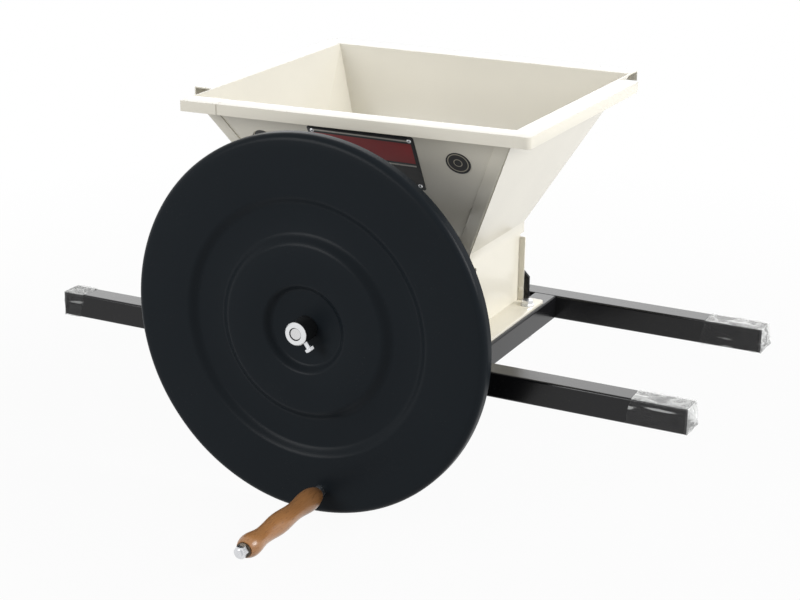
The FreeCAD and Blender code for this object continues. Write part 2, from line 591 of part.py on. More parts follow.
def build_hopper_end(label, side):
    """Front or rear hopper wall, whose flange ends flush at its open corner, the one on its own side."""
    body = new_body(label)
    section = new_sketch(body, "section", "YZ_Plane")
    corners = wall_profile(RIM_Y, THROAT_Y)
    add_polygon(section, [("Sizes.chamber_shift + " + signed(side, u), z) for u, z in corners])
    half_length = "(%s + Sizes.flange_joint)" % RIM_X
    pad(body, section, "2 * " + half_length, symmetric=True)
    ends = new_sketch(body, "ends", "XZ_Plane", "-Sizes.chamber_shift")
    low = "(%s - %g)" % (SKIRT_BOTTOM, CUT_PAST)
    top_x = "(%s - %s * Sizes.hopper_wall)" % (RIM_X, slope(RIM_X, THROAT_X))
    beyond = "(%s + %g)" % (half_length, CUT_PAST)
    for x_side in (-1, 1):
        corners = [(THROAT_X, low), (THROAT_X, "Sizes.throat_height"), (top_x, BELOW_FLANGE),
                   (beyond, BELOW_FLANGE), (beyond, low)]
        add_polygon(ends, [(signed(x_side, x), z) for x, z in corners])
    reach = "(%s + Sizes.hopper_flange - 2 * Sizes.hopper_wall)" % RIM_Y
    pocket(body, ends, "2 * " + reach, symmetric=True)
    rim_end = new_sketch(body, "rim_end", "XY_Plane")
    flange_y = sorted(["Sizes.chamber_shift + " + signed(side, "(%s - %g)" % (RIM_Y, CUT_PAST)),
                       "Sizes.chamber_shift + " + signed(side, "(%s + 2 * Sizes.hopper_flange)" % RIM_Y)],
                      key=value)
    lip_y = sorted(["Sizes.chamber_shift + " + signed(side, "(%s + Sizes.hopper_flange / 2)" % RIM_Y),
                    flange_y[0 if side < 0 else 1]], key=value)
    add_rectangle(rim_end, signed(side, OPEN_END), signed(side, beyond), *flange_y)
    slit = "(%s - Sizes.slit_inset)" % OPEN_END
    add_rectangle(rim_end, signed(side, slit), signed(side, "(%s + Sizes.lip_slit)" % slit), *lip_y)
    pocket(body, rim_end, "2 * (Sizes.rim_height + %g)" % CUT_PAST, symmetric=True)
    holes = new_sketch(body, "screw_holes", "XZ_Plane", "-Sizes.chamber_shift")
    for end in (-1, 1):
        add_circle(holes, signed(end, "Sizes.skirt_screw_pitch / 2"), SCREW_Z,
                   "Sizes.skirt_screw + Sizes.bolt_clearance")
    pocket(body, holes, "2 * " + reach, symmetric=True)


def build_hopper_side(label, side):
    """Left or right hopper wall. Its flange turns one corner of the rim and stops short of the other."""
    body = new_body(label)
    section = new_sketch(body, "section", "XZ_Plane", "-Sizes.chamber_shift")
    add_polygon(section, [(signed(side, u), z) for u, z in wall_profile(RIM_X, THROAT_X)])
    half_length = "(%s + Sizes.hopper_flange)" % RIM_Y
    pad(body, section, "2 * " + half_length, symmetric=True)
    ends = new_sketch(body, "ends", "YZ_Plane")
    low = "(%s - %g)" % (SKIRT_BOTTOM, CUT_PAST)
    beyond = "(%s + %g)" % (half_length, CUT_PAST)
    foot = "(%s + Sizes.hopper_wall)" % THROAT_Y
    rim_outer = outer_slope_top(RIM_Y, THROAT_Y)
    for y_side in (-1, 1):
        corners = [(foot, low), (foot, "Sizes.throat_height"), (rim_outer, BELOW_FLANGE),
                   (beyond, BELOW_FLANGE), (beyond, low)]
        add_polygon(ends, [("Sizes.chamber_shift + " + signed(y_side, y), z) for y, z in corners])
    reach = "(%s + Sizes.hopper_flange - 2 * Sizes.hopper_wall)" % RIM_X
    pocket(body, ends, "2 * " + reach, symmetric=True)
    seat = new_sketch(body, "flange_seats", "XY_Plane", "Sizes.rim_height + %g" % CUT_PAST)
    seat_inner = "(%s - %g)" % (RIM_X, CUT_PAST)
    seat_outer = "(%s + Sizes.flange_joint)" % RIM_X
    seat_start = "(%s - %s * Sizes.hopper_wall)" % (RIM_Y, slope(RIM_Y, THROAT_Y))
    for y_side in (-1, 1):
        y_low = "Sizes.chamber_shift + " + signed(y_side, seat_start)
        y_high = "Sizes.chamber_shift + " + signed(y_side, beyond)
        add_rectangle(seat, signed(side, seat_inner), signed(side, seat_outer), y_low, y_high)
    pocket(body, seat, "Sizes.hopper_wall + %g" % (CUT_PAST + SLIVER))
    closed_side = -side
    face = "Sizes.chamber_shift + " + signed(closed_side, half_length)
    lip = new_sketch(body, "corner_lip", "XZ_Plane", negative("(" + face + ")"))
    add_rectangle(lip, signed(side, seat_outer), signed(side, "(%s + Sizes.hopper_flange)" % RIM_X),
                  "Sizes.rim_height - Sizes.hopper_lip", BELOW_FLANGE)
    pad(body, lip, "Sizes.hopper_wall", reverse=(closed_side < 0))
    rim_end = new_sketch(body, "rim_end", "XY_Plane")
    short_y = "Sizes.chamber_shift + " + signed(side, "(%s - Sizes.open_corner)" % RIM_Y)
    past_y = "Sizes.chamber_shift + " + signed(side, beyond)
    add_rectangle(rim_end, signed(side, OPEN_END), signed(side, "(%s + 2 * Sizes.hopper_flange)" % RIM_X),
                  short_y, past_y)
    pocket(body, rim_end, "2 * (Sizes.rim_height + %g)" % CUT_PAST, symmetric=True)


def build_hopper_screws():
    """Round head screws that hold the hopper's skirt to the two bearing plates."""
    head = dome_head(size("skirt_screw_head"), size("screw_head_height"))
    shank = size("hopper_wall") + size("skirt_clearance") + size("bearing_plate")
    screw = head.fuse(cylinder(size("skirt_screw"), shank, Vector(0, 0, -shank)))
    reach = value(THROAT_Y) + size("hopper_wall")
    screws = []
    for way in (-1, 1):
        for end in (-1, 1):
            spot = Vector(end * size("skirt_screw_pitch") / 2, size("chamber_shift") + way * reach,
                          value(SCREW_Z))
            screws.append(turned_to(screw, Vector(0, way, 0), spot))
    add_solid("hopper_screws", Part.makeCompound(screws))


def front_wall_placement(height, lift):
    """Place for a flat thing on the front wall's outer face, centred at a height."""
    angle = value(lean(RIM_Y, THROAT_Y))
    outward = value(THROAT_Y) + value(slope(RIM_Y, THROAT_Y)) * (height - size("throat_height"))
    outward += value(level_thickness(RIM_Y, THROAT_Y))
    turn = Rotation(Vector(1, 0, 0), angle)
    normal = turn.multVec(Vector(0, -1, 0))
    base = Vector(0, size("chamber_shift") - outward, height)
    return Placement(base + normal * lift, turn)


def build_corner_straps():
    """Laps of sheet that cover the front wall's two side seams, from its foot to the flange."""
    bottom = size("throat_height") + size("strap_foot")
    top = size("rim_height") - size("hopper_wall") - size("bolt_clearance")
    width = size("strap_width")
    thickness = size("hopper_wall")
    side_slope = value(slope(RIM_X, THROAT_X))
    angle = math.radians(value(lean(RIM_Y, THROAT_Y)))
    place_on_wall = front_wall_placement(bottom, size("strap_clearance"))
    straps = []
    for side in (-1, 1):
        def edge(z):
            return value(THROAT_X) + side_slope * (z - size("throat_height"))

        def up(z):
            return (z - bottom) / math.cos(angle)

        corners = [Vector(side * (edge(bottom) - width), 0, 0), Vector(side * edge(bottom), 0, 0),
                   Vector(side * edge(top), 0, up(top)), Vector(side * (edge(top) - width), 0, up(top))]
        face = Part.Face(Part.makePolygon(corners + corners[:1]))
        strap = face.extrude(Vector(0, -thickness, 0))
        strap.Placement = place_on_wall
        straps.append(strap)
    add_solid("hopper_corner_straps", Part.makeCompound(straps))


def build_label_plate():
    """Plain thin plate on the hopper's front, left bare."""
    width = size("label_width")
    height = size("label_height")
    thickness = size("label_thickness")
    plate = Part.makeBox(width, thickness, height, Vector(-width / 2, -thickness, -height))
    plate = plate.makeFillet(size("label_rivet"), [edge for edge in plate.Edges
                                                   if runs_along(edge, Vector(0, 1, 0))])
    spots = label_rivet_spots()
    outward = Vector(0, -1, 0)
    for spot in spots:
        plate = plate.cut(cylinder(size("label_rivet"), 2 * thickness, spot, outward))
    add_solid("label_plate", plate, label_placement())
    head = dome_head(size("label_rivet_head"), size("rivet_dome"))
    rivet = head.fuse(cylinder(size("label_rivet"), thickness, Vector(0, 0, -thickness)))
    rivets = [turned_to(rivet, outward, spot + outward * thickness) for spot in spots]
    add_solid("label_rivets", Part.makeCompound(rivets), label_placement())


def label_placement():
    """Place of the middle of the label's top edge, a little to the right on the wall."""
    spot = front_wall_placement(size("label_top"), 0)
    spot.Base = spot.Base + Vector(size("label_shift"), 0, 0)
    return spot


def label_rivet_spots():
    """Four places near the label's corners, from the middle of its top edge."""
    inset = size("label_rivet_inset")
    x = size("label_width") / 2 - inset
    return [Vector(i * x, 0, z) for i in (-1, 1) for z in (-inset, inset - size("label_height"))]


def build_badge(label, side):
    """Small round disc on the hopper's front, left bare."""
    disc = cylinder(size("badge_diameter"), size("label_thickness"), Vector(0, 0, 0), Vector(0, -1, 0))
    spot = front_wall_placement(size("badge_height"), 0)
    spot.Base = spot.Base + Vector(side * size("badge_offset"), 0, 0)
    add_solid(label, disc, spot)


def build_shaft():
    """Stepped shaft through both bearings, with a flat for the hub's screw."""
    body = new_body("main_shaft")
    section = new_sketch(body, "section", "XY_Plane")
    journal = "Sizes.shaft_diameter / 2"
    stub = "(Sizes.hub_bore / 2)"
    step = "(%s + Sizes.shoulder_gap)" % HUB_TAIL
    front_end = "(%s + Sizes.shaft_setback)" % HUB_END
    add_polygon(section, [("0", front_end), (stub, front_end), (stub, step), (journal, step),
                          (journal, SHAFT_END), ("0", SHAFT_END)])
    revolve(body, section)
    tip = value(front_end)
    edge_chamfer(body, lambda edge: is_circle(edge, size("hub_bore") / 2, tip), "Sizes.hub_chamfer")
    flat = new_sketch(body, "flat", "YZ_Plane")
    turn_to_screw(flat, "(%s - Sizes.shaft_flat)" % stub)
    add_rectangle(flat, HUB_SCREW_Y + " - Sizes.hub_screw", HUB_SCREW_Y + " + Sizes.hub_screw",
                  negative(stub), stub)
    pocket(body, flat, "Sizes.hub_bore", reverse=True)
    for spot in drum_pin_places():
        hole = new_sketch(body, "pin_hole", "XY_Plane")
        add_circle(hole, "0", spot, "Sizes.drum_pin")
        pocket(body, hole, "2 * Sizes.shaft_diameter", symmetric=True)


def drum_pin_places():
    """Where the two drum pins cross the shaft, along Y."""
    inset = "(Sizes.drum_end_gap + Sizes.drum_disc + Sizes.drum_boss_length / 2)"
    return ["%s + %s" % (CHAMBER_FRONT, inset), "%s - %s" % (CHAMBER_REAR, inset)]


def is_circle(edge, radius, y):
    """True for a round edge about the shaft's axis with a given radius and place."""
    if edge.Curve.TypeId != "Part::GeomCircle":
        return False
    return abs(edge.Curve.Radius - radius) < 1e-3 and abs(edge.Curve.Center.y - y) < 1e-3


def edge_chamfer(body, chosen, length):
    base = body.Tip
    picked = ["Edge%d" % (i + 1) for i, edge in enumerate(base.Shape.Edges) if chosen(edge)]
    feature = body.newObject("PartDesign::Chamfer", base.Label + "_chamfer")
    feature.Base = (base, picked)
    feature.setExpression("Size", length)
    doc.recompute()
    return feature


def build_collar(label, face, side):
    """Shaft collar that keeps the shaft from sliding in a bearing."""
    body = new_body(label)
    section = new_sketch(body, "section", "XY_Plane")
    nose = "%s + %s" % (face, signed(side, "Sizes.bearing_plate + Sizes.nose_length + Sizes.collar_gap"))
    end = "%s + %s" % (nose, signed(side, "Sizes.collar_width"))
    bore = "Sizes.shaft_diameter / 2 + Sizes.seat_clearance"
    outer = "Sizes.collar_diameter / 2"
    add_polygon(section, [(bore, nose), (outer, nose), (outer, end), (bore, end)])
    revolve(body, section)
    hole = new_sketch(body, "screw_hole", "XY_Plane")
    add_circle(hole, "0", "%s + %s" % (nose, signed(side, "Sizes.collar_width / 2")), "Sizes.collar_screw")
    pocket(body, hole, "Sizes.collar_diameter", reverse=True)


def build_collar_screws():
    """Grub screws of the two collars."""
    length = (size("collar_diameter") - size("shaft_diameter")) / 2
    screws = []
    for face, side in ((CHAMBER_FRONT, -1), (CHAMBER_REAR, 1)):
        inset = size("bearing_plate") + size("nose_length") + size("collar_gap") + size("collar_width") / 2
        y = value(face) + side * inset
        grub = cylinder(size("collar_screw"), length, Vector(0, y, size("shaft_diameter") / 2))
        socket = hexagon(size("collar_screw") / 2, length / 2)
        socket.translate(Vector(0, y, size("collar_diameter") / 2 - length / 2))
        screws.append(grub.cut(socket))
    add_solid("collar_screws", Part.makeCompound(screws))


def octagon(flats):
    """Corners of an octagon across its flats, as pairs of expressions, flats up and sideways."""
    far = "(%s / 2)" % flats
    near = "(%s / 2 * tan(22.5 deg))" % flats
    quarter = [(far, near), (near, far)]
    return (quarter + [(negative(x), z) for x, z in reversed(quarter)]
            + [(negative(x), negative(z)) for x, z in quarter]
            + [(x, negative(z)) for x, z in reversed(quarter)])


def build_drum():
    """Eight sided drum shell that carries the blades."""
    body = new_body("drum_shell")
    section = new_sketch(body, "section", "XZ_Plane", negative(CHAMBER_REAR + " - Sizes.drum_end_gap"))
    add_polygon(section, octagon("Sizes.drum_flats"))
    add_polygon(section, octagon("(Sizes.drum_flats - 2 * Sizes.drum_wall)"))
    pad(body, section, DRUM_LENGTH)
    add_screw_holes(body)


def add_screw_holes(body):
    """Threaded holes for the blade screws, through the four blade faces."""
    upright = new_sketch(body, "upright_screw_holes", "XY_Plane")
    level = new_sketch(body, "level_screw_holes", "YZ_Plane")
    for screw_y in blade_screw_places():
        add_circle(upright, "0", screw_y, "Sizes.blade_screw")
        add_circle(level, screw_y, "0", "Sizes.blade_screw")
    for holes in (upright, level):
        pocket(body, holes, "2 * Sizes.drum_flats", symmetric=True)


def blade_screw_places():
    third = "(%s / 3)" % DRUM_LENGTH
    return ["Sizes.chamber_shift + %s" % signed(way, third) for way in (-1, 0, 1)]


def build_drum_disc(label, side):
    """End disc of the drum with a boss that is pinned to the shaft."""
    body = new_body(label)
    outer_face = "(%s + Sizes.drum_end_gap)" % CHAMBER_FRONT
    if side > 0:
        outer_face = "(%s - Sizes.drum_end_gap)" % CHAMBER_REAR
    disc = new_sketch(body, "disc", "XZ_Plane", negative(outer_face))
    add_polygon(disc, octagon("(Sizes.drum_flats - 2 * Sizes.drum_wall - 2 * Sizes.plug_clearance)"))
    add_circle(disc, "0", "0", "Sizes.shaft_diameter + 2 * Sizes.seat_clearance")
    pad(body, disc, "Sizes.drum_disc", reverse=(side < 0))
    boss = new_sketch(body, "boss", "XZ_Plane", negative(outer_face))
    add_circle(boss, "0", "0", "Sizes.drum_boss")
    add_circle(boss, "0", "0", "Sizes.shaft_diameter + 2 * Sizes.seat_clearance")
    pad(body, boss, "Sizes.drum_disc + Sizes.drum_boss_length", reverse=(side < 0))
    hole = new_sketch(body, "pin_hole", "XY_Plane")
    add_circle(hole, "0", drum_pin_places()[0 if side < 0 else 1], "Sizes.drum_pin")
    pocket(body, hole, "2 * Sizes.drum_boss", symmetric=True)


def build_drum_pins():
    """Pins that drive the drum's end discs from the shaft."""
    length = size("drum_boss")
    pins = []
    for spot in drum_pin_places():
        pins.append(cylinder(size("drum_pin"), length, Vector(0, value(spot), -length / 2)))
    add_solid("drum_pins", Part.makeCompound(pins))


def build_blades():
    """Four toothed angle blades screwed to every other face of the drum."""
    length = value(DRUM_LENGTH)
    thickness = size("blade_thickness")
    foot = size("blade_foot")
    reach = size("blade_reach")
    pitch = size("tooth_pitch")
    base = Part.makeBox(foot, length, thickness, Vector(-foot / 2, 0, 0))
    upright = Part.makeBox(thickness, length, thickness + reach, Vector(foot / 2 - thickness, 0, 0))
    blade = base.fuse(upright)
    gap = Part.makeBox(2 * thickness, size("tooth_gap"), size("tooth_depth") + CUT_PAST)
    gap.translate(Vector(foot / 2 - 1.5 * thickness, pitch / 2, thickness + reach - size("tooth_depth")))
    for index in range(int(length / pitch)):
        blade = blade.cut(gap)
        gap.translate(Vector(0, pitch, 0))
    for spot in blade_screw_places():
        y = value(spot) - value(CHAMBER_FRONT) - size("drum_end_gap")
        start = Vector(0, y, -thickness)
        hole = cylinder(size("blade_screw") + size("bolt_clearance"), 3 * thickness, start)
        blade = blade.cut(hole)
    front = value(CHAMBER_FRONT) + size("drum_end_gap")
    blade.translate(Vector(0, front, size("drum_flats") / 2))
    blades = []
    for index in range(BLADE_COUNT):
        copy = blade.copy()
        copy.rotate(Vector(0, 0, 0), Vector(0, 1, 0), 360 / BLADE_COUNT * index)
        blades.append(copy)
    add_solid("scratter_blades", Part.makeCompound(blades))


def build_blade_screws():
    """Round head screws that hold the blades."""
    head = dome_head(size("blade_screw_head"), size("screw_head_height"))
    shank = size("blade_thickness") + size("drum_wall")
    screw = head.fuse(cylinder(size("blade_screw"), shank, Vector(0, 0, -shank)))
    top = size("drum_flats") / 2 + size("blade_thickness")
    screws = []
    for index in range(BLADE_COUNT):
        for spot in blade_screw_places():
            copy = turned_to(screw, Vector(0, 0, 1), Vector(0, value(spot), top))
            copy.rotate(Vector(0, 0, 0), Vector(0, 1, 0), 360 / BLADE_COUNT * index)
            screws.append(copy)
    add_solid("blade_screws", Part.makeCompound(screws))


def build_flywheel():
    """Pressed sheet flywheel with a turned back rim and stepped rings."""
    body = new_body("flywheel_disc")
    section = new_sketch(body, "section", "XY_Plane")
    radius = "Sizes.wheel_diameter / 2"
    bore = "(Sizes.hub_diameter / 2 + Sizes.seat_clearance)"
    rise = "-Sizes.plateau_rise"
    outer_step = "(%s - Sizes.outer_step_inset)" % radius
    plateau = "(%s - Sizes.plateau_inset)" % radius
    front = [(bore, "Sizes.recess_depth"),
             ("(Sizes.hub_recess_radius - Sizes.hub_recess_run)", "Sizes.recess_depth"),
             ("Sizes.hub_recess_radius", rise), (plateau, rise),
             ("(%s + Sizes.plateau_run)" % plateau, "Sizes.recess_depth"),
             ("(%s - Sizes.outer_step_run)" % outer_step, "Sizes.recess_depth"), (outer_step, "0")]
    back = [(x, "(%s + Sizes.wheel_sheet)" % y) for x, y in reversed(front)]
    rim_inner = "(%s - Sizes.wheel_sheet)" % radius
    rim = [(radius, "0"), (radius, "Sizes.wheel_rim_depth"), (rim_inner, "Sizes.wheel_rim_depth"),
           (rim_inner, "Sizes.wheel_sheet")]
    add_polygon(section, front + rim + back)
    revolve(body, section)
    outer = size("wheel_diameter") / 2
    sheet_t = size("wheel_sheet")
    round_edges(body, "rim_outside", lambda edge: is_circle(edge, outer, 0), "Sizes.wheel_edge_round")
    round_edges(body, "rim_inside", lambda edge: is_circle(edge, outer - sheet_t, sheet_t),
                "Sizes.wheel_edge_round - Sizes.wheel_sheet")
    places = [(value(x), value(y)) for x, y in front[1:] + back[:-1]]
    round_edges(body, "ring_rounds",
                lambda edge: any(is_circle(edge, x, y) for x, y in places), "Sizes.ring_round")
    hole = new_sketch(body, "stud_hole", "XZ_Plane")
    add_circle(hole, HANDLE_X, HANDLE_Z, "Sizes.stud_diameter + Sizes.bolt_clearance")
    pocket(body, hole, "4 * Sizes.wheel_rim_depth", symmetric=True)
    place(body, y=WHEEL_Y)


def build_hub():
    """Tube hub through the wheel with a welded flange behind it."""
    body = new_body("flywheel_hub")
    section = new_sketch(body, "section", "XY_Plane")
    bore = "(Sizes.hub_bore / 2 + Sizes.seat_clearance)"
    outer = "(Sizes.hub_diameter / 2)"
    flange = "(Sizes.hub_flange / 2)"
    flange_rear = "(%s + Sizes.hub_flange_thickness)" % HUB_BACK
    add_polygon(section, [(bore, HUB_END), (outer, HUB_END), (outer, HUB_BACK), (flange, HUB_BACK),
                          (flange, flange_rear), (outer, flange_rear), (outer, HUB_TAIL), (bore, HUB_TAIL)])
    revolve(body, section)
    edge_chamfer(body, lambda edge: is_circle(edge, size("hub_diameter") / 2, value(HUB_END)),
                 "Sizes.hub_chamfer")
    hole = new_sketch(body, "screw_hole", "YZ_Plane")
    turn_to_screw(hole, "0")
    add_circle(hole, HUB_SCREW_Y, "0", "Sizes.hub_screw")
    pocket(body, hole, "Sizes.hub_diameter", reverse=True)


def build_hub_screw():
    """Hexagon screw that clamps the hub on the shaft's flat."""
    inner = size("hub_bore") / 2 - size("shaft_flat")
    shank = size("hub_diameter") / 2 + size("hub_screw_reach") - inner
    screw = cylinder(size("hub_screw"), shank)
    head = hex_head(size("hub_screw_flats"), size("hub_screw_head"))
    head.translate(Vector(0, 0, shank))
    screw = screw.fuse(head)
    angle = math.radians(size("hub_screw_angle"))
    direction = Vector(math.cos(angle), 0, math.sin(angle))
    base = direction * inner + Vector(0, value(HUB_SCREW_Y), 0)
    add_solid("hub_set_screw", turned_to(screw, direction, base))


def handle_point(y):
    return Vector(value(HANDLE_X), y, value(HANDLE_Z))


def grip_front():
    """Where the grip begins, seen from the wheel, along Y."""
    return value(WHEEL_Y) - size("stud_nut") - size("grip_gap")


def build_handle():
    """Stud, nuts, washer and turned grip of the handle."""
    outward = Vector(0, -1, 0)
    face = value(WHEEL_Y)
    back = face + size("wheel_sheet")
    diameter = size("stud_diameter")
    flats = size("stud_nut_flats")
    grip_end = grip_front() - size("grip_length")
    washer_face = grip_end - size("grip_gap")
    nut_face = washer_face - size("washer_thickness")
    stud_rear = back + size("stud_nut") + size("stud_over")
    stud_front = nut_face - size("end_nut") - size("stud_over") / 2
    stud = cylinder(diameter, stud_rear - stud_front, handle_point(stud_rear), outward)
    add_solid("handle_stud", stud)
    nut = hex_nut(flats, size("stud_nut"), diameter)
    lock_nuts = [turned_to(nut, outward, handle_point(face)),
                 turned_to(nut, Vector(0, 1, 0), handle_point(back))]
    add_solid("handle_lock_nuts", Part.makeCompound(lock_nuts))
    ring = washer(size("grip_washer"), diameter, size("washer_thickness"))
    add_solid("handle_washer", turned_to(ring, outward, handle_point(washer_face)))
    end_nut = hex_nut(flats, size("end_nut"), diameter)
    add_solid("handle_end_nut", turned_to(end_nut, outward, handle_point(nut_face)))
    add_solid("handle_grip", turned_to(grip_shape(), outward, handle_point(grip_front())))


def grip_shape():
    """Turned wooden grip: a bulb at the wheel, a neck, a belly, a neck and a flared end."""
    length = size("grip_length")
    bore = size("stud_diameter") / 2 + size("grip_clearance")
    points = [Vector(size(diameter) / 2, 0, share * length) for share, diameter in GRIP_OUTLINE]
    outline = Part.BSplineCurve()
    outline.interpolate(points)
    start = Vector(bore, 0, 0)
    end = Vector(bore, 0, length)
    edges = [Part.LineSegment(start, points[0]), outline, Part.LineSegment(points[-1], end),
             Part.LineSegment(end, start)]
    wire = Part.Wire([edge.toShape() for edge in edges])
    return Part.Face(wire).revolve(Vector(0, 0, 0), Vector(0, 0, 1), 360)


def check_and_write():
    """Stop on any failed object or bad shape, then write one file per sub-part."""
    doc.recompute()
    for item in doc.Objects:
        if "Invalid" in item.State or "Error" in item.State:
            raise RuntimeError("failed: " + item.Label)
    os.makedirs("parts", exist_ok=True)
    for item in subparts:
        if item.Shape.isNull() or not item.Shape.isValid():
            raise RuntimeError("bad shape: " + item.Label)
        item.Shape.exportStep("parts/%s.step" % item.Label)
        print("%-24s %3d solid  %10.0f mm3" % (item.Label, len(item.Shape.Solids), item.Shape.Volume))


def main():
    build_rail("front_rail", -1)
    build_rail("rear_rail", 1)
    build_crossbar("left_crossbar", -1)
    build_crossbar("right_crossbar", 1)
    build_rail_plugs()
    build_base_plate()
    build_base_fasteners()
    build_side_plate("left_side_plate", -1)
    build_side_plate("right_side_plate", 1)
    build_bearing_plate("front_bearing_plate", -1)
    build_bearing_plate("rear_bearing_plate", 1)
    build_chamber_rivets()
    build_bearing("front_bearing", -1)
    build_bearing("rear_bearing", 1)
    build_bearing_bolts()
    build_comb("left_comb", -1)
    build_comb("right_comb", 1)
    build_hopper_end("hopper_front_wall", -1)
    build_hopper_end("hopper_rear_wall", 1)
    build_hopper_side("hopper_left_wall", -1)
    build_hopper_side("hopper_right_wall", 1)
    build_hopper_screws()
    build_corner_straps()
    build_label_plate()
    build_badge("left_badge", -1)
    build_badge("right_badge", 1)
    build_shaft()
    build_collar("front_collar", CHAMBER_FRONT, -1)
    build_collar("rear_collar", CHAMBER_REAR, 1)
    build_collar_screws()
    build_drum()
    build_drum_disc("front_drum_disc", -1)
    build_drum_disc("rear_drum_disc", 1)
    build_drum_pins()
    build_blades()
    build_blade_screws()
    build_flywheel()
    build_hub()
    build_hub_screw()
    build_handle()
    check_and_write()


main()
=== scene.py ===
import logging
import math
from dataclasses import dataclass
from enum import Enum
from typing import Any, Callable, Iterable, Sequence

import bmesh
import bpy
from mathutils import Matrix, Vector, noise


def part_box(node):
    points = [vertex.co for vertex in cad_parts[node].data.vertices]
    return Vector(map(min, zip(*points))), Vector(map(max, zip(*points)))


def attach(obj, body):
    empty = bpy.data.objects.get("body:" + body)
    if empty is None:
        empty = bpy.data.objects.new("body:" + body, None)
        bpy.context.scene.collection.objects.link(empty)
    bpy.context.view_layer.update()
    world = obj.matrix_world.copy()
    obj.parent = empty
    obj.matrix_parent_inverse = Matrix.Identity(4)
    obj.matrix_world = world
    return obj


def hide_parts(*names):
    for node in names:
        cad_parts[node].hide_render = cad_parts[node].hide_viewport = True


# Looks of a hand cranked apple scratter, in metres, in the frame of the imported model:
# +X along the rails, -Y towards the flywheel and the user, +Z up, the rails resting on z = 0.

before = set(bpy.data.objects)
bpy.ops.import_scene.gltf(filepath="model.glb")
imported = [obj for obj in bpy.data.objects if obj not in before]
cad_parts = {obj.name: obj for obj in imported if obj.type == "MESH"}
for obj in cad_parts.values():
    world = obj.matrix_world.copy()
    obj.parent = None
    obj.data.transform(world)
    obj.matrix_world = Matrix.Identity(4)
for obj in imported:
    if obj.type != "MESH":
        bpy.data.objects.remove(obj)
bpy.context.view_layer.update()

MM = 0.001
WELD = 2e-6
SHARP = math.radians(30)
FLAT = math.radians(0.4)
CORNER_STEPS = 6
FOLD_STEPS = 4
CUT_STEPS = 2
LOG = logging.getLogger("scratter")

Colour = tuple[float, float, float, float]
Value = Any


class Body(str, Enum):
    """The rigid bodies that new pieces ride on."""

    FRAME = "frame"
    WHEEL = "flywheel"


class Slot(str, Enum):
    """Names of the record's material slots, passed along with new pieces."""

    BLACK = "black_enamel"
    WHEEL = "wheel_paint"
    CREAM = "cream_enamel"
    ZINC = "zinc_plate"
    LABEL = "label_print"
    PLUG = "plug_plastic"


class Link:
    """A node socket that takes part in Python arithmetic and adds Math nodes as it goes."""

    def __init__(self, tree: "Tree", socket: bpy.types.NodeSocket) -> None:
        """Wrap a socket.

        Args:
            tree: The tree that holds the socket.
            socket: An output socket.
        """
        self.tree = tree
        self.socket = socket

    def _maths(self, operation: str, *values: Value) -> "Link":
        """Add one Math node and return its result."""
        return self.tree.node("ShaderNodeMath", {"operation": operation}, dict(enumerate(values)))

    def __add__(self, other: Value) -> "Link":
        """This value plus another."""
        return self._maths("ADD", self, other)

    def __radd__(self, other: Value) -> "Link":
        """Another value plus this one."""
        return self._maths("ADD", other, self)

    def __sub__(self, other: Value) -> "Link":
        """This value less another."""
        return self._maths("SUBTRACT", self, other)

    def __rsub__(self, other: Value) -> "Link":
        """Another value less this one."""
        return self._maths("SUBTRACT", other, self)

    def __mul__(self, other: Value) -> "Link":
        """This value times another."""
        return self._maths("MULTIPLY", self, other)

    def __rmul__(self, other: Value) -> "Link":
        """Another value times this one."""
        return self._maths("MULTIPLY", other, self)

    def __truediv__(self, other: Value) -> "Link":
        """This value over another."""
        return self._maths("DIVIDE", self, other)

    def __abs__(self) -> "Link":
        """The value without its sign."""
        return self._maths("ABSOLUTE", self)

    def clamp(self) -> "Link":
        """The value held between nought and one."""
        return self.tree.node("ShaderNodeClamp", {}, {"Value": self})

    def above(self, edge: float, soft: float) -> "Link":
        """A soft step.

        Args:
            edge: Where the step lies.
            soft: The width over which it rises.

        Returns:
            Nought well below the edge and one well above it.
        """
        return ((self - edge) / soft + 0.5).clamp()

    def below(self, edge: float, soft: float) -> "Link":
        """One well below the edge and nought well above it."""
        return 1 - self.above(edge, soft)


class Tree:
    """A node tree that starts empty and grows node by node."""

    def __init__(self, tree: bpy.types.NodeTree) -> None:
        """Empty a tree.

        Args:
            tree: The tree of a material or a world.
        """
        self.tree = tree
        tree.nodes.clear()

    def add(self, kind: str, settings: dict[str, Any], values: dict[Any, Value]) -> bpy.types.Node:
        """Add any node.

        Args:
            kind: The node's type.
            settings: Its properties, such as a Math node's operation, set first.
            values: Its inputs by name or number, each a Link or a plain value.

        Returns:
            The node.
        """
        made = self.tree.nodes.new(kind)
        for name, setting in settings.items():
            setattr(made, name, setting)
        for name, given in values.items():
            self._feed(made.inputs[name], given)
        return made

    def node(self, kind: str, settings: dict[str, Any], values: dict[Any, Value], out: Any = 0) -> Link:
        """Add any node and return one of its outputs, the first unless another is named."""
        return Link(self, self.add(kind, settings, values).outputs[out])

    def _feed(self, socket: bpy.types.NodeSocket, given: Value) -> None:
        """Link a socket or set its own value."""
        if isinstance(given, Link):
            self.tree.links.new(given.socket, socket)
        else:
            socket.default_value = given

    def background_ray(self) -> Link:
        """One for rays that show the background: straight, mirrored or through clear things."""
        rays = [self.node("ShaderNodeLightPath", {}, {}, name)
                for name in ("Is Camera Ray", "Is Glossy Ray", "Is Transmission Ray")]
        return (rays[0] + rays[1] + rays[2]).clamp()


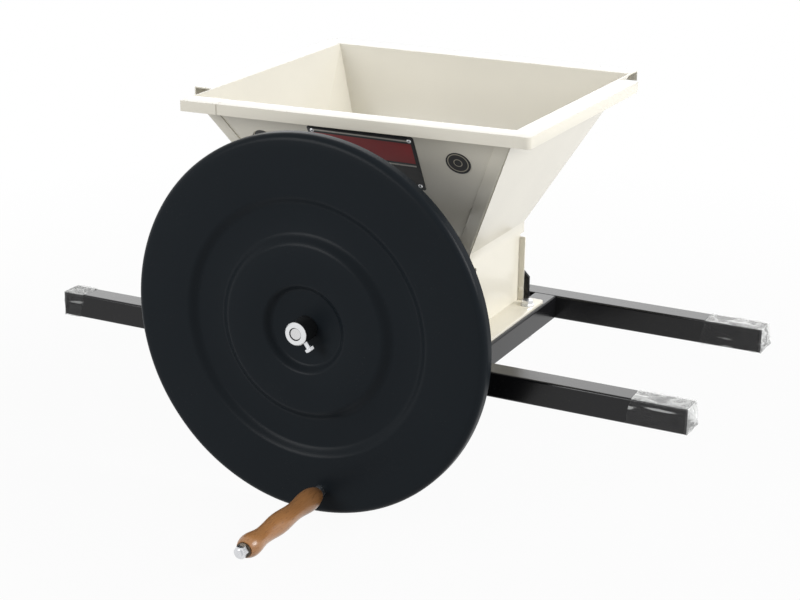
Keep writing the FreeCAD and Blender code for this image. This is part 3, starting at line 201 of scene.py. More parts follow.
class Shader(Tree):
    """A material's node tree round one Principled shader."""

    def __init__(self, name: str) -> None:
        """Make a new material.

        Args:
            name: The material's name.
        """
        self.material = bpy.data.materials.new(name)
        self.material.use_nodes = True
        super().__init__(self.material.node_tree)
        self.principled = self.add("ShaderNodeBsdfPrincipled", {}, {})

    def set(self, **values: Value) -> None:
        """Set or link the Principled shader's sockets, whose names are given with underscores."""
        for name, given in values.items():
            self._feed(self.principled.inputs[name.replace("_", " ")], given)

    def surface(self) -> Link:
        """The Principled shader's result."""
        return Link(self, self.principled.outputs[0])

    def finished(self, surface: Link | None = None) -> bpy.types.Material:
        """Join a shader to the output.

        Args:
            surface: The shader, which is the Principled one unless another is given.

        Returns:
            The material.
        """
        self.add("ShaderNodeOutputMaterial", {}, {"Surface": self.surface() if surface is None else surface})
        return self.material

    def place(self) -> Link:
        """The point on the piece, in metres, in the machine's frame."""
        return self.node("ShaderNodeTexCoord", {}, {}, "Object")

    def axis(self, name: str) -> Link:
        """One coordinate of the point on the piece: X, Y or Z."""
        return self.node("ShaderNodeSeparateXYZ", {}, {0: self.place()}, name)

    def noise(self, scale: float, detail: float = 4.0, stretch: Sequence[float] = (1, 1, 1),
              turn: Sequence[float] = (0, 0, 0)) -> Link:
        """Cloudy noise about one half.

        Args:
            scale: Cells per metre.
            detail: Octaves of finer noise.
            stretch: A factor on the scale along each axis.
            turn: Rotation of the pattern in radians.

        Returns:
            The noise's value.
        """
        placing = {"Vector": self.place(), "Rotation": turn, "Scale": stretch}
        spot = self.node("ShaderNodeMapping", {}, placing)
        return self.node("ShaderNodeTexNoise", {}, {"Vector": spot, "Scale": scale, "Detail": detail})

    def distance(self, centre: Sequence[float]) -> Link:
        """Distance in metres from a fixed point of the machine."""
        return self.node("ShaderNodeVectorMath", {"operation": "DISTANCE"},
                         {0: self.place(), 1: tuple(centre)}, "Value")

    def mix(self, factor: Value, first: Value, second: Value) -> Link:
        """Mix two colours: the first at nought, the second at one."""
        return self.node("ShaderNodeMix", {"data_type": "RGBA"}, {0: factor, 6: first, 7: second}, 2)

    def bump(self, height: Link, depth: float, strength: float = 1.0, under: Link | None = None) -> Link:
        """A bumped normal.

        Args:
            height: The relief, from nought to one.
            depth: What one stands for, in metres.
            strength: How much of the relief shows.
            under: A bumped normal that this relief lies on.

        Returns:
            The normal.
        """
        values = {"Height": height, "Distance": depth, "Strength": strength}
        if under is not None:
            values["Normal"] = under
        return self.node("ShaderNodeBump", {}, values)


def clamped(value: float) -> float:
    """A number held between nought and one."""
    return min(1.0, max(0.0, value))


def rgb(red: float, green: float, blue: float) -> Colour:
    """A colour with full alpha."""
    return (red, green, blue, 1.0)


def scaled(colour: Colour, factor: float) -> Colour:
    """A colour made darker or lighter."""
    return rgb(*(channel * factor for channel in colour[:3]))


@dataclass(frozen=True)
class Enamel:
    """Sprayed enamel on steel, with orange peel, faint clouds, dust and long soft waves."""

    name: str
    colour: Colour
    gloss: float
    peel: float = 0.03 * MM
    cloud: float = 0.06
    dust: float = 0.1
    wave: float = 0.25 * MM
    shine: float = 0.5
    dust_colour: Colour = rgb(0.45, 0.43, 0.39)

    def make(self) -> bpy.types.Material:
        """Build the material and return it."""
        shader = Shader(self.name)
        clouds = shader.noise(7, 3)
        specks = shader.noise(900, 2).above(0.72, 0.06)
        settled = shader.noise(22, 5).above(0.62, 0.3) * specks * self.dust
        body = shader.mix(clouds, scaled(self.colour, 1 - self.cloud), scaled(self.colour, 1 + self.cloud))
        relief = shader.bump(shader.noise(650, 2), self.peel)
        shader.set(
            Base_Color=shader.mix(settled, body, self.dust_colour),
            Roughness=self.gloss + 0.1 * (clouds - 0.5) + 0.25 * settled,
            Normal=shader.bump(shader.noise(9, 2), self.wave, under=relief),
            Specular_IOR_Level=self.shine,
        )
        return shader.finished()


@dataclass(frozen=True)
class Metal:
    """Bare or plated steel with fine marks and a slight change of tone."""

    name: str
    colour: Colour
    rough: float
    stretch: tuple[float, float, float] = (1, 1, 1)
    marks: float = 0.004 * MM

    def make(self) -> bpy.types.Material:
        """Build the material and return it."""
        shader = Shader(self.name)
        grain = shader.noise(1400, 3, self.stretch)
        tone = shader.noise(60, 4)
        shader.set(
            Base_Color=shader.mix(tone, scaled(self.colour, 0.86), scaled(self.colour, 1.1)),
            Metallic=1.0,
            Roughness=self.rough + 0.16 * (grain - 0.5) + 0.12 * (tone - 0.5),
            Normal=shader.bump(grain, self.marks),
        )
        return shader.finished()


@dataclass(frozen=True)
class Iron:
    """Cast iron under thin black paint, coarse from the mould."""

    name: str = "cast_iron_paint"
    colour: Colour = rgb(0.03, 0.03, 0.032)

    def make(self) -> bpy.types.Material:
        """Build the material and return it."""
        shader = Shader(self.name)
        sand = shader.noise(420, 5)
        shader.set(
            Base_Color=shader.mix(sand, scaled(self.colour, 0.7), scaled(self.colour, 1.4)),
            Roughness=0.45 + 0.25 * (sand - 0.5),
            Normal=shader.bump(sand, 0.12 * MM),
        )
        return shader.finished()


@dataclass(frozen=True)
class Beech:
    """Turned beech under clear varnish, its grain along the handle."""

    name: str = "varnished_beech"
    light: Colour = rgb(0.45, 0.218, 0.084)
    dark: Colour = rgb(0.345, 0.15, 0.049)

    def make(self) -> bpy.types.Material:
        """Build the material and return it."""
        shader = Shader(self.name)
        along = (1, 0.06, 1)
        broad = shader.noise(120, 3, along)
        fibre = shader.noise(900, 4, (1, 0.035, 1))
        flecks = shader.noise(520, 2, (1, 0.16, 1)).above(0.64, 0.08)
        turned = shader.noise(260, 2, (0.08, 1, 0.08))
        tone = (0.55 * broad + 0.45 * fibre).above(0.5, 0.4)
        wood = shader.mix(tone, self.light, self.dark)
        shader.set(
            Base_Color=shader.mix(0.55 * flecks, wood, scaled(self.dark, 0.6)),
            Roughness=0.34 + 0.16 * (fibre - 0.5) + 0.1 * flecks,
            Normal=shader.bump(0.6 * fibre + 0.4 * turned, 0.05 * MM),
            Coat_Weight=0.35,
            Coat_Roughness=0.2,
        )
        return shader.finished()


@dataclass(frozen=True)
class Plastic:
    """Moulded black plastic with a fine spark texture."""

    name: str = "plug_plastic_black"
    colour: Colour = rgb(0.02, 0.02, 0.021)

    def make(self) -> bpy.types.Material:
        """Build the material and return it."""
        shader = Shader(self.name)
        spark = shader.noise(1500, 2)
        shader.set(
            Base_Color=shader.mix(spark, scaled(self.colour, 0.8), scaled(self.colour, 1.25)),
            Roughness=0.5 + 0.2 * (spark - 0.5),
            Normal=shader.bump(spark, 0.03 * MM),
        )
        return shader.finished()


@dataclass(frozen=True)
class ClearFilm:
    """Clear packing film: whiter on the rail's top face as a painted highlight, and milky where it is folded
    over the end.
    """

    top: float
    end: float
    name: str = "clear_packing_film"
    colour: Colour = rgb(0.88, 0.89, 0.88)
    clear: float = 0.008

    def make(self) -> bpy.types.Material:
        """Build the material and return it."""
        shader = Shader(self.name)
        wrinkles = shader.noise(110, 4, (0.3, 1, 1))
        streaks = shader.noise(150, 1, (0.14, 1, 1), (0, 0.35, 0)).above(0.68, 0.05)
        # Painted highlight: the film is made more opaque and white above the rail's top, standing in for
        # glare off the top face.
        painted_top_glare = shader.axis("Z").above(self.top, 1 * MM) * (0.5 - 0.22 * wrinkles.above(0.52, 0.3))
        folded = abs(shader.axis("X")).above(self.end, 0.6 * MM) * (0.2 + 0.4 * wrinkles.above(0.5, 0.15))
        shader.set(
            Base_Color=self.colour,
            Roughness=0.14 + 0.1 * wrinkles,
            Alpha=(self.clear + 0.3 * streaks + painted_top_glare + folded).clamp(),
            Normal=shader.bump(wrinkles, 0.3 * MM),
        )
        return shader.finished()


@dataclass(frozen=True)
class HubFinish:
    """Black painted hub whose end face is bare turned steel."""

    end_y: float
    bare_depth: float = 1.3 * MM
    name: str = "hub_paint_and_steel"
    paint: Colour = rgb(0.012, 0.013, 0.014)
    steel: Colour = rgb(0.72, 0.73, 0.74)

    def make(self) -> bpy.types.Material:
        """Build the material and return it."""
        shader = Shader(self.name)
        ragged = shader.noise(700, 3) * 0.5 * MM
        bare = (shader.axis("Y") + ragged).below(self.end_y + self.bare_depth, 0.2 * MM)
        grain = shader.noise(1300, 3, (1, 0.1, 1))
        shader.set(
            Base_Color=shader.mix(bare, self.paint, self.steel),
            Metallic=bare,
            Roughness=0.4 - 0.1 * bare + 0.15 * (grain - 0.5),
            Normal=shader.bump(grain, 0.01 * MM),
        )
        return shader.finished()


@dataclass(frozen=True)
class LabelPrint:
    """Black printed plate with a plain red band between two pale lines, and no words."""

    low: Vector
    high: Vector
    name: str = "label_black_and_red"
    ground: Colour = rgb(0.014, 0.014, 0.016)
    band: Colour = rgb(0.30, 0.012, 0.014)
    line: Colour = rgb(0.55, 0.53, 0.48)
    margin: float = 4.5 * MM

    def make(self) -> bpy.types.Material:
        """Build the material and return it."""
        shader = Shader(self.name)
        up = (shader.axis("Z") - self.low.z) / (self.high.z - self.low.z)
        soft = 0.01
        band = up.above(0.48, soft) * up.below(0.84, soft)
        lines = up.above(0.42, soft) * up.below(0.445, soft) + up.above(0.875, soft) * up.below(0.9, soft)
        across = abs(shader.axis("X") - (self.low.x + self.high.x) / 2)
        inside = across.below((self.high.x - self.low.x) / 2 - self.margin, 0.4 * MM)
        fade = shader.noise(30, 3)
        red = shader.mix(fade, scaled(self.band, 0.7), scaled(self.band, 1.25))
        ink = shader.mix(band * inside, self.ground, red)
        shader.set(
            Base_Color=shader.mix(lines * inside, ink, self.line),
            Roughness=0.32 + 0.12 * (shader.noise(300, 3) - 0.5),
            Normal=shader.bump(shader.noise(60, 2), 0.15 * MM),
        )
        return shader.finished()


@dataclass(frozen=True)
class BadgePrint:
    """Black round sticker with one plain pale ring."""

    centre: Vector
    radius: float
    name: str
    ground: Colour = rgb(0.016, 0.016, 0.017)
    ring: Colour = rgb(0.50, 0.46, 0.36)

    def make(self) -> bpy.types.Material:
        """Build the material and return it."""
        shader = Shader(self.name)
        reach = shader.distance(self.centre) / self.radius
        soft = 0.03
        ring = reach.above(0.78, soft) * reach.below(0.85, soft)
        hatch = reach.above(0.3, soft) * reach.below(0.36, soft)
        shader.set(
            Base_Color=shader.mix((ring + hatch) * 0.9, self.ground, self.ring),
            Roughness=0.35 + 0.1 * (shader.noise(400, 2) - 0.5),
            Normal=shader.bump(shader.noise(120, 2), 0.05 * MM),
        )
        return shader.finished()


class Finishes:
    """Every shared finish of the machine, made once."""

    def __init__(self) -> None:
        """Make the shared materials."""
        self.cream = Enamel("cream_enamel_paint", rgb(0.80, 0.765, 0.665), 0.2, dust=0.12).make()
        self.black = Enamel("black_enamel_paint", rgb(0.0055, 0.0055, 0.0065), 0.2,
                            dust=0.35, shine=0.34).make()
        # Painted shade: this dark steel stands in for the shade in the gap between the handle's washer and
        # the grip.
        self.washer_painted_shade = Metal("washer_steel_painted_shade", rgb(0.09, 0.075, 0.06), 0.42).make()
        self.wheel = Enamel("wheel_satin_black", rgb(0.0095, 0.0126, 0.0158), 0.34, peel=0.05 * MM,
                            dust=0.12, wave=0.5 * MM, shine=0.07).make()
        self.zinc = Metal("zinc_plating", rgb(0.72, 0.73, 0.75), 0.3).make()
        self.turned = Metal("turned_steel", rgb(0.66, 0.66, 0.66), 0.26, (0.15, 4, 0.15)).make()
        self.brushed = Metal("brushed_stainless", rgb(0.64, 0.64, 0.635), 0.34, (1, 0.06, 1)).make()
        self.iron = Iron().make()
        self.beech = Beech().make()
        self.plastic = Plastic().make()
        self.film = ClearFilm(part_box("front_rail")[1].z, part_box("rail_end_plugs")[1].x).make()


@dataclass(frozen=True)
class SheetEdges:
    """How a folded sheet's edges are rounded, in metres. Nought leaves the folds or corners sharp."""

    thickness: float
    cut: float = 0.4 * MM
    fold: float = 0.0
    corner: float = 0.0
    shortest: float = 1.5 * MM


def is_sharp(edge: bmesh.types.BMEdge) -> bool:
    """True where two faces of a solid meet at a clear angle."""
    return edge.is_manifold and edge.calc_face_angle(0.0) > SHARP


def face_width(face: bmesh.types.BMFace, edge: bmesh.types.BMEdge) -> float:
    """How wide a face is on average beside one of its edges."""
    return face.calc_area() / edge.calc_length()


def is_fold(edge: bmesh.types.BMEdge, sheet: SheetEdges, outside: bool = True) -> bool:
    """True for one side of a fold: both faces beside it are wider than the sheet is thick."""
    if not is_sharp(edge) or edge.calc_length() < sheet.shortest or edge.is_convex != outside:
        return False
    return all(face_width(face, edge) > 3 * sheet.thickness for face in edge.link_faces)


def is_rim_corner(edge: bmesh.types.BMEdge, sheet: SheetEdges, outside: bool) -> bool:
    """True for an upright fold, where a lip turns the corner of the rim."""
    along = (edge.verts[1].co - edge.verts[0].co).normalized()
    return abs(along.z) > 0.99 and edge.calc_length() < 20 * MM and is_fold(edge, sheet, outside)


def is_cut_edge(edge: bmesh.types.BMEdge, sheet: SheetEdges) -> bool:
    """True for the long edges of the sheet's cut rim."""
    return is_sharp(edge) and edge.is_convex and edge.calc_length() > 3 * sheet.thickness


class Bench:
    """Puts finished pieces and finishes on the machine and logs each one."""

    def __init__(self) -> None:
        """Make the finishes."""
        self.finishes = Finishes()

    def dress(self, node: str, material: bpy.types.Material) -> None:
        """Give a carried-over node its finish.

        Args:
            node: The node's name.
            material: The finish.
        """
        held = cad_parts[node]
        for slot in held.material_slots:
            slot.material = material
        LOG.info("dressed %s with %s", node, material.name)

    def piece(self, mesh: bmesh.types.BMesh, name: str, body: Body, slot: Slot,
              material: bpy.types.Material, replaces: Iterable[str] = (),
              sharp_angle: float = math.radians(32)) -> bpy.types.Object:
        """Turn a bmesh into a piece that rides on a body.

        Args:
            mesh: The finished bmesh, which is freed.
            name: The piece's name.
            body: The body it rides on.
            slot: Not used.
            material: Its finish.
            replaces: The nodes that it stands for.
            sharp_angle: Edges that turn more than this stay sharp, in radians.

        Returns:
            The new object.
        """
        for face in mesh.faces:
            face.smooth = True
        for edge in mesh.edges:
            edge.smooth = edge.is_manifold and edge.calc_face_angle(0.0) < sharp_angle
        data = bpy.data.meshes.new(name)
        mesh.to_mesh(data)
        mesh.free()
        data.materials.append(material)
        made = bpy.data.objects.new(name, data)
        bpy.context.scene.collection.objects.link(made)
        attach(made, body.value)
        for node in replaces:
            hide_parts(node)
        LOG.info("built %s with %d faces", name, len(data.polygons))
        return made

    def eased(self, node: str, slot: Slot, material: bpy.types.Material, sheet: SheetEdges,
              shaping: Callable[[Vector], Vector] | None = None) -> bpy.types.Object:
        """Stand a copy of a sheet metal node of the frame in its place, with its edges eased.

        Args:
            node: The node to copy.
            slot: The record's slot.
            material: Its finish.
            sheet: How round its folds and its cut edges are.
            shaping: Moves each point of the finished mesh, where the sheet isn't quite true.

        Returns:
            The new object.
        """
        mesh = bmesh.new()
        mesh.from_mesh(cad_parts[node].data)
        bmesh.ops.remove_doubles(mesh, verts=mesh.verts, dist=WELD)
        bmesh.ops.dissolve_limit(mesh, angle_limit=FLAT, verts=mesh.verts, edges=mesh.edges)
        if sheet.corner > 0:
            for outside, radius in ((False, sheet.corner - sheet.thickness), (True, sheet.corner)):
                edges = [edge for edge in mesh.edges if is_rim_corner(edge, sheet, outside)]
                self._bevel(mesh, edges, radius, CORNER_STEPS, False)
        if sheet.fold > 0:
            self._bevel(mesh, [edge for edge in mesh.edges if is_fold(edge, sheet)], sheet.fold, FOLD_STEPS)
        self._bevel(mesh, [edge for edge in mesh.edges if is_cut_edge(edge, sheet)], sheet.cut, CUT_STEPS)
        if shaping is not None:
            for vert in mesh.verts:
                vert.co = shaping(vert.co)
        bmesh.ops.recalc_face_normals(mesh, faces=mesh.faces)
        return self.piece(mesh, node + "_finish", Body.FRAME, slot, material, [node])

    @staticmethod
    def _bevel(mesh: bmesh.types.BMesh, edges: list[bmesh.types.BMEdge], width: float, segments: int,
               clamp: bool = True) -> None:
        """Round some edges of a bmesh."""
        bmesh.ops.bevel(mesh, geom=edges, offset=width, offset_type="OFFSET", affect="EDGES",
                        segments=segments, profile=0.5, material=-1, clamp_overlap=clamp)


def chain(mesh: bmesh.types.BMesh, points: Sequence[Vector], closed: bool = True) -> list[bmesh.types.BMEdge]:
    """Add points joined by edges.

    Args:
        mesh: The bmesh to add them to.
        points: The points in order.
        closed: Whether the last joins the first.

    Returns:
        The edges.
    """
    verts = [mesh.verts.new(point) for point in points]
    pairs = list(zip(verts, verts[1:] + verts[:1]))
    return [mesh.edges.new(pair) for pair in (pairs if closed else pairs[:-1])]


def turned(profile: Sequence[tuple[float, float]], centre: Vector, steps: int) -> bmesh.types.BMesh:
    """Spin a closed outline about an axis along Y.

    Args:
        profile: Radius and Y of each point of the outline.
        centre: A point on the axis.
        steps: Steps round the full turn.

    Returns:
        The bmesh, its faces outward.
    """
    mesh = bmesh.new()
    edges = chain(mesh, [Vector((centre.x + radius, y, centre.z)) for radius, y in profile])
    bmesh.ops.spin(mesh, geom=list(mesh.verts) + edges, cent=centre, axis=(0, 1, 0), angle=math.tau,
                   steps=steps, use_merge=True, use_duplicate=False)
    bmesh.ops.remove_doubles(mesh, verts=mesh.verts, dist=1e-6)
    bmesh.ops.recalc_face_normals(mesh, faces=mesh.faces)
    return mesh


def eased_step(start: tuple[float, float], end: tuple[float, float], count: int) -> list[tuple[float, float]]:
    """Points of a soft pressed step between two levels.

    Args:
        start: Radius and depth before the step.
        end: Radius and depth after it.
        count: Points along the step.

    Returns:
        The points, both ends included.
    """
    points = []
    for index in range(count + 1):
        share = index / count
        lift = (1 - math.cos(math.pi * share)) / 2
        points.append((start[0] + (end[0] - start[0]) * share, start[1] + (end[1] - start[1]) * lift))
    return points


@dataclass
class Flywheel:
    """Pressed sheet wheel with soft rings, its hub, and the screw that clamps it."""

    bench: Bench
    sheet: float = 2 * MM
    recess: float = 7 * MM
    rise: float = 1 * MM
    rim_round: float = 8 * MM
    rim_depth: float = 16 * MM
    rim_steps: int = 6
    ridge_width: float = 14 * MM
    ridge_height: float = 0.15 * MM
    step_points: int = 8
    outer_step: tuple[float, float] = (153 * MM, 139 * MM)
    plateau_step: tuple[float, float] = (110 * MM, 95 * MM)
    hub_step: tuple[float, float] = (53 * MM, 42 * MM)
    bore: float = 14 * MM
    ripple: float = 0.25 * MM
    steps: int = 240

    def front_profile(self, radius: float) -> list[tuple[float, float]]:
        """Radius and depth of the front face, from the bore to where the rim turns back.

        Args:
            radius: The wheel's outer radius.

        Returns:
            The points.
        """
        points = [(self.bore, self.recess)]
        for start, end in (
            ((self.hub_step[1], self.recess), (self.hub_step[0], -self.rise)),
            ((self.plateau_step[1], -self.rise), (self.plateau_step[0], self.recess)),
            ((self.outer_step[1], self.recess), (self.outer_step[0], 0.0)),
        ):
            points += eased_step(start, end, self.step_points)
        flat_end = radius - self.rim_round
        points.append((flat_end - self.ridge_width, 0.0))
        points.append((flat_end - self.ridge_width / 2, -self.ridge_height))
        points.append((flat_end, 0.0))
        return points

    def rim_arc(self, radius: float, bend: float) -> list[tuple[float, float]]:
        """Radius and depth of points round the rim's quarter turn.

        Args:
            radius: The wheel's outer radius.
            bend: The arc's own radius.

        Returns:
            The points, from the face to the edge.
        """
        turns = [math.radians(90 * index / self.rim_steps) for index in range(1, self.rim_steps + 1)]
        centre = radius - self.rim_round
        return [(centre + bend * math.sin(turn), self.rim_round - bend * math.cos(turn)) for turn in turns]

    def build(self) -> None:
        """Build the wheel's disc and dress what turns with it at its centre."""
        low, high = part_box("flywheel_disc")
        centre = (low + high) / 2
        radius = (high.x - low.x) / 2
        front = high.y - self.rim_depth
        face = self.front_profile(radius)
        outside = self.rim_arc(radius, self.rim_round)
        inside = self.rim_arc(radius, self.rim_round - self.sheet)[::-1]
        edge = [(radius, self.rim_depth), (radius - self.sheet, self.rim_depth)]
        back = [(reach, depth + self.sheet) for reach, depth in reversed(face)]
        profile = [(reach, front + depth) for reach, depth in face + outside + edge + inside + back]
        mesh = turned(profile, centre, self.steps)
        self._ripple(mesh)
        self.bench.piece(mesh, "flywheel_sheet", Body.WHEEL, Slot.WHEEL,
                         self.bench.finishes.wheel, ["flywheel_disc"])
        hub_low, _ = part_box("flywheel_hub")
        self.bench.dress("flywheel_hub", HubFinish(hub_low.y).make())
        self.bench.dress("hub_set_screw", self.bench.finishes.zinc)
        self.bench.dress("main_shaft", self.bench.finishes.turned)

    def _ripple(self, mesh: bmesh.types.BMesh) -> None:
        """Give the pressed sheet the slight unevenness of the real one."""
        for vert in mesh.verts:
            spot = vert.co * 14
            vert.co.y += self.ripple * noise.noise(Vector((spot.x, 0.0, spot.z)))


@dataclass
class Handle:
    """Turned grip on its stud, with its nuts and washer."""

    bench: Bench

    def build(self) -> None:
        """Dress the grip and its hardware."""
        self.bench.dress("handle_grip", self.bench.finishes.beech)
        for node in ("handle_stud", "handle_lock_nuts", "handle_end_nut"):
            self.bench.dress(node, self.bench.finishes.zinc)
        # Painted shade: the washer is made dark to stand in for the shade between it and the grip.
        self.bench.dress("handle_washer", self.bench.finishes.washer_painted_shade)


@dataclass
class Hopper:
    """Four folded sheet walls with their lip, the straps, and what is riveted to the front."""

    bench: Bench
    wall: SheetEdges = SheetEdges(1.5 * MM, cut=0.45 * MM, fold=2.2 * MM, corner=7 * MM)
    plate: SheetEdges = SheetEdges(0.8 * MM, cut=0.2 * MM)
    droop: float = 7 * MM
    dents: float = 0.35 * MM
    throat_z: float = 133.5 * MM

    def build(self) -> None:
        """Build the walls and what is riveted to them, and dress the screws."""
        finishes = self.bench.finishes
        low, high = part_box("hopper_front_wall")
        self.low = Vector((low.x, low.y, self.throat_z))
        self.high = Vector((high.x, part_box("hopper_rear_wall")[1].y, high.z))
        for side in ("front", "rear", "left", "right"):
            self.bench.eased("hopper_%s_wall" % side, Slot.CREAM, finishes.cream, self.wall, self.untrue)
        self.bench.eased("hopper_corner_straps", Slot.CREAM, finishes.cream, self.wall_edge(), self.untrue)
        self.bench.dress("hopper_screws", finishes.zinc)
        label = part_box("label_plate")
        self.bench.eased("label_plate", Slot.LABEL, LabelPrint(*label).make(), self.plate, self.untrue)
        self.bench.eased("label_rivets", Slot.ZINC, finishes.zinc, self.plate, self.untrue)
        for node in ("left_badge", "right_badge"):
            low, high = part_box(node)
            badge = BadgePrint((low + high) / 2, (high.x - low.x) / 2, node + "_print")
            self.bench.eased(node, Slot.LABEL, badge.make(), self.plate, self.untrue)

    def wall_edge(self) -> SheetEdges:
        """The wall's cut edges on a piece that has no fold."""
        return SheetEdges(self.wall.thickness, self.wall.cut)

    def untrue(self, point: Vector) -> Vector:
        """Move a point as the real hopper has it: its front left corner droops and its walls wave.

        Args:
            point: A point on the hopper.

        Returns:
            Where the point lies on the real one.
        """
        up = clamped((point.z - self.low.z) / (self.high.z - self.low.z))
        left = clamped((self.high.x - point.x) / (self.high.x - self.low.x))
        front = clamped((self.high.y - point.y) / (self.high.y - self.low.y))
        wave = self.dents * noise.noise(point * 9) * math.sin(math.pi * up) ** 2
        return Vector((point.x + wave, point.y + wave, point.z - self.droop * up * left * front))


@dataclass
class Chamber:
    """The box round the drum: sides, bearing plates, bearings, combs and their fasteners."""

    bench: Bench
    side: SheetEdges = SheetEdges(2 * MM, cut=0.5 * MM, fold=1.5 * MM)
    plate: SheetEdges = SheetEdges(5 * MM, cut=0.6 * MM)

    def build(self) -> None:
        """Ease the plates' edges and dress the rest."""
        finishes = self.bench.finishes
        for side in ("left", "right"):
            self.bench.eased(side + "_side_plate", Slot.CREAM, finishes.cream, self.side)
            self.bench.dress(side + "_comb", finishes.brushed)
        for side in ("front", "rear"):
            self.bench.eased(side + "_bearing_plate", Slot.BLACK, finishes.black, self.plate)
            self.bench.dress(side + "_bearing", finishes.iron)
            self.bench.dress(side + "_collar", finishes.turned)
        self.bench.dress("chamber_rivets", finishes.cream)
        for node in ("bearing_bolts", "collar_screws"):
            self.bench.dress(node, finishes.zinc)


@dataclass
class Drum:
    """The bladed drum that shows through the hopper's throat."""

    bench: Bench

    def build(self) -> None:
        """Dress the drum."""
        finishes = self.bench.finishes
        for node in ("drum_shell", "front_drum_disc", "rear_drum_disc", "scratter_blades"):
            self.bench.dress(node, finishes.brushed)
        self.bench.dress("drum_pins", finishes.turned)
        self.bench.dress("blade_screws", finishes.zinc)


@dataclass
class Carrier:
    """Rails, crossbars, plugs, base plate and the bolts between them."""

    bench: Bench
    plate: SheetEdges = SheetEdges(3 * MM, cut=0.7 * MM)

    def build(self) -> None:
        """Ease the base plate's edges and dress the tubes and bolts."""
        finishes = self.bench.finishes
        self.bench.eased("base_plate", Slot.CREAM, finishes.cream, self.plate)
        for node in ("front_rail", "rear_rail", "left_crossbar", "right_crossbar"):
            self.bench.dress(node, finishes.black)
        self.bench.dress("rail_end_plugs", finishes.plastic)
        for node in ("base_bolts", "base_washers", "base_nuts"):
            self.bench.dress(node, finishes.zinc)


@dataclass
class EndFilms:
    """Clear packing film wrapped and crumpled round the four rail ends."""

    bench: Bench
    front_right: float = 68 * MM
    rear_right: float = 75 * MM
    left: float = 27 * MM
    gap: float = 0.45 * MM
    tip: float = 6 * MM
    crease: float = 0.9 * MM
    slant: float = 0.2
    skin: float = 0.1 * MM
    cuts: int = 25
    sharp_crease: float = math.radians(50)
    hem: float = 2 * MM
    crease_scale: float = 80
    fold_scale: float = 40
    hem_scale: float = 60

    def build(self) -> None:
        """Wrap the four ends."""
        low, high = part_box("rail_end_plugs")
        for rail, right in (("front", self.front_right), ("rear", self.rear_right)):
            rail_low, rail_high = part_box(rail + "_rail")
            middle = (rail_low + rail_high) / 2
            width = rail_high.z - rail_low.z
            self._wrap(rail + "_right_film", Vector((high.x, middle.y, middle.z)), 1, right, width)
            self._wrap(rail + "_left_film", Vector((low.x, middle.y, middle.z)), -1, self.left, width)

    def _wrap(self, name: str, end: Vector, side: int, reach: float, width: float) -> None:
        """Wrap one end.

        Args:
            name: The piece's name.
            end: The middle of the rail's end face.
            side: The way that the end faces along X.
            reach: How far the film reaches back along the rail.
            width: The rail's width.
        """
        mesh = bmesh.new()
        bmesh.ops.create_cube(mesh, size=1.0)
        across = width + 2 * self.gap
        bmesh.ops.scale(mesh, vec=(reach, across, across), verts=mesh.verts)
        bmesh.ops.translate(mesh, vec=end + Vector((side * (self.gap - reach / 2), 0, 0)), verts=mesh.verts)
        open_end = [face for face in mesh.faces if face.normal.x * side < -0.5]
        bmesh.ops.delete(mesh, geom=open_end, context="FACES_ONLY")
        bmesh.ops.subdivide_edges(mesh, edges=mesh.edges, cuts=self.cuts, use_grid_fill=True)
        self._crumple(mesh, end, side, reach, across / 2)
        bmesh.ops.recalc_face_normals(mesh, faces=mesh.faces)
        bmesh.ops.solidify(mesh, geom=mesh.faces, thickness=self.skin)
        self.bench.piece(mesh, name, Body.FRAME, Slot.PLUG, self.bench.finishes.film,
                         sharp_angle=self.sharp_crease)

    def _crumple(self, mesh: bmesh.types.BMesh, end: Vector, side: int, reach: float, half: float) -> None:
        """Crease the film, fold its end to a blunt point and cut its other edge aslant.

        Args:
            mesh: The film's bmesh.
            end: The middle of the rail's end face.
            side: The way that the end faces along X.
            reach: The film's length.
            half: Half the film's width.
        """
        mesh.normal_update()
        for vert in mesh.verts:
            across = vert.co - end
            out = max(abs(across.y), abs(across.z)) / half
            back = clamped(1 - (side * across.x + reach) / reach)
            ridge = 1 - 2.5 * abs(noise.noise(vert.co * self.crease_scale))
            vert.co += vert.normal * max(self.skin - self.gap, self.crease * (ridge - 0.7))
            if side * across.x > 0 and out < 0.999:
                turn = math.atan2(across.z, across.y)
                spot = Vector((2 * math.cos(turn), 2 * math.sin(turn), end.y * self.fold_scale))
                pleat = 5 * self.crease * abs(noise.noise(spot))
                vert.co.x += side * (self.tip * (1 - out) + pleat * (out - out * out) * 4)
            vert.co.x += back * (self.slant * across.z + self.hem * noise.noise(vert.co * self.hem_scale))


@dataclass(frozen=True)
class Lamp:
    """A soft square lamp: where it is, how wide in metres and how strong in watts."""

    name: str
    place: tuple[float, float, float]
    size: float
    power: float


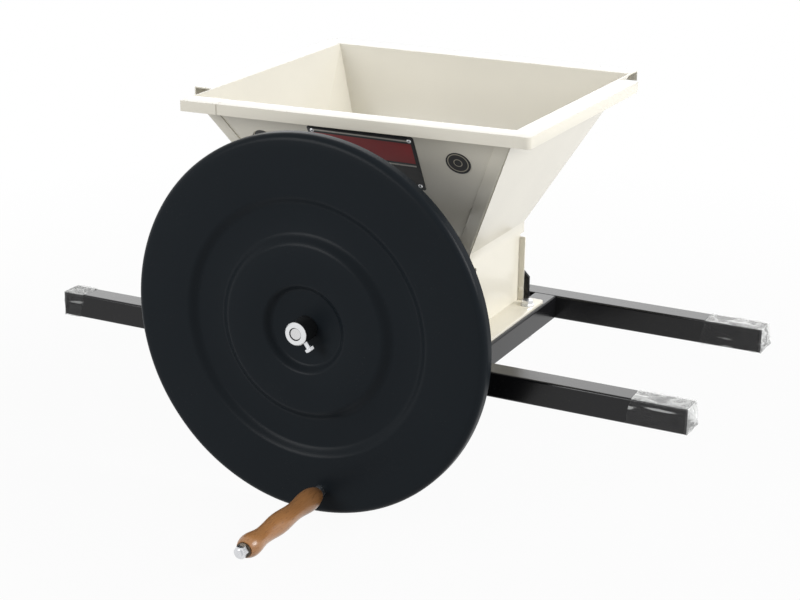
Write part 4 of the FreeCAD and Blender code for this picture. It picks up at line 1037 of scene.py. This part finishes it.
@dataclass
class Studio:
    """Camera at the photograph's angle, pale floor, soft lamps and a white surround."""

    focal_px: float = 1729.6
    image_width_px: float = 800.0
    sensor: float = 36.0
    place: tuple[float, float, float] = (0.8990, -1.8247, 0.7280)
    azimuth: float = math.radians(26.589)
    down: float = math.radians(18.712)
    roll: float = math.radians(0.778)
    floor_z: float = -0.1375
    floor_size: float = 12.0
    aim: tuple[float, float, float] = (0.0, 0.0, 0.12)
    ambient: float = 0.34

    def build(self) -> None:
        """Make everything that isn't the machine."""
        self._camera()
        self._floor()
        self._lamps()
        self._surround()
        bpy.context.scene.view_settings.view_transform = "Standard"

    def _camera(self) -> None:
        """Place the camera."""
        data = bpy.data.cameras.new("camera")
        data.sensor_width = self.sensor
        data.lens = self.focal_px / self.image_width_px * self.sensor
        data.clip_end = 50.0
        camera = bpy.data.objects.new("camera", data)
        bpy.context.scene.collection.objects.link(camera)
        forward = Vector((-math.sin(self.azimuth) * math.cos(self.down),
                          math.cos(self.azimuth) * math.cos(self.down), -math.sin(self.down)))
        level = Vector((math.cos(self.azimuth), math.sin(self.azimuth), 0.0))
        upright = level.cross(forward)
        right = math.cos(self.roll) * level + math.sin(self.roll) * upright
        up = -math.sin(self.roll) * level + math.cos(self.roll) * upright
        turn = Matrix((right, up, -forward)).transposed().to_4x4()
        camera.matrix_world = Matrix.Translation(self.place) @ turn
        bpy.context.scene.camera = camera

    def _floor(self) -> None:
        """Make the pale floor, which keeps a soft shadow."""
        mesh = bmesh.new()
        bmesh.ops.create_grid(mesh, x_segments=1, y_segments=1, size=self.floor_size / 2)
        bmesh.ops.translate(mesh, verts=mesh.verts, vec=(0, 0, self.floor_z))
        data = bpy.data.meshes.new("floor")
        mesh.to_mesh(data)
        mesh.free()
        floor = bpy.data.objects.new("floor", data)
        bpy.context.scene.collection.objects.link(floor)
        data.materials.append(self._floor_paint())

    def _floor_paint(self) -> bpy.types.Material:
        """White floor that the camera sees as the white surround, with a faint shadow."""
        shader = Shader("floor_white")
        shader.set(Base_Color=rgb(0.5, 0.5, 0.5), Roughness=0.9)
        glow = shader.node("ShaderNodeEmission", {}, {"Color": rgb(1, 1, 1), "Strength": 1.0})
        far = shader.distance((0, 0, self.floor_z)).above(1.0, 0.9)
        share = shader.background_ray() * (0.95 + 0.05 * far)
        shown = shader.node("ShaderNodeMixShader", {}, {0: share, 1: shader.surface(), 2: glow})
        return shader.finished(shown)

    def _lamps(self) -> None:
        """Key on the right, a fill in front on the left, and a faint panel behind for the rails to mirror."""
        for lamp in (Lamp("key", (2.5, 0.5, 1.3), 1.2, 62),
                     Lamp("fill", (-1.3, -3.0, 1.2), 1.5, 54),
                     Lamp("back_panel", (-1.3, 2.7, 1.25), 2.6, 27)):
            data = bpy.data.lights.new(lamp.name, "AREA")
            data.size = lamp.size
            data.energy = lamp.power
            made = bpy.data.objects.new(lamp.name, data)
            made.location = lamp.place
            towards = Vector(self.aim) - Vector(lamp.place)
            made.rotation_euler = towards.to_track_quat("-Z", "Y").to_euler()
            bpy.context.scene.collection.objects.link(made)

    def _surround(self) -> None:
        """Light the machine evenly and show white behind it."""
        world = bpy.data.worlds.new("surround")
        bpy.context.scene.world = world
        world.use_nodes = True
        tree = Tree(world.node_tree)
        even = tree.node("ShaderNodeBackground", {}, {"Color": rgb(1, 1, 1), "Strength": self.ambient})
        white = tree.node("ShaderNodeBackground", {}, {"Color": rgb(1, 1, 1), "Strength": 1.0})
        shown = tree.node("ShaderNodeMixShader", {}, {0: tree.background_ray(), 1: even, 2: white})
        tree.add("ShaderNodeOutputWorld", {}, {"Surface": shown})


def main() -> None:
    """Build the machine's looks and the studio in order."""
    logging.basicConfig(level=logging.INFO, format="%(name)s: %(message)s")
    bench = Bench()
    Studio().build()
    for assembly in (Carrier(bench), EndFilms(bench), Chamber(bench), Drum(bench), Hopper(bench),
                     Flywheel(bench), Handle(bench)):
        assembly.build()


if __name__ == "__main__":
    main()
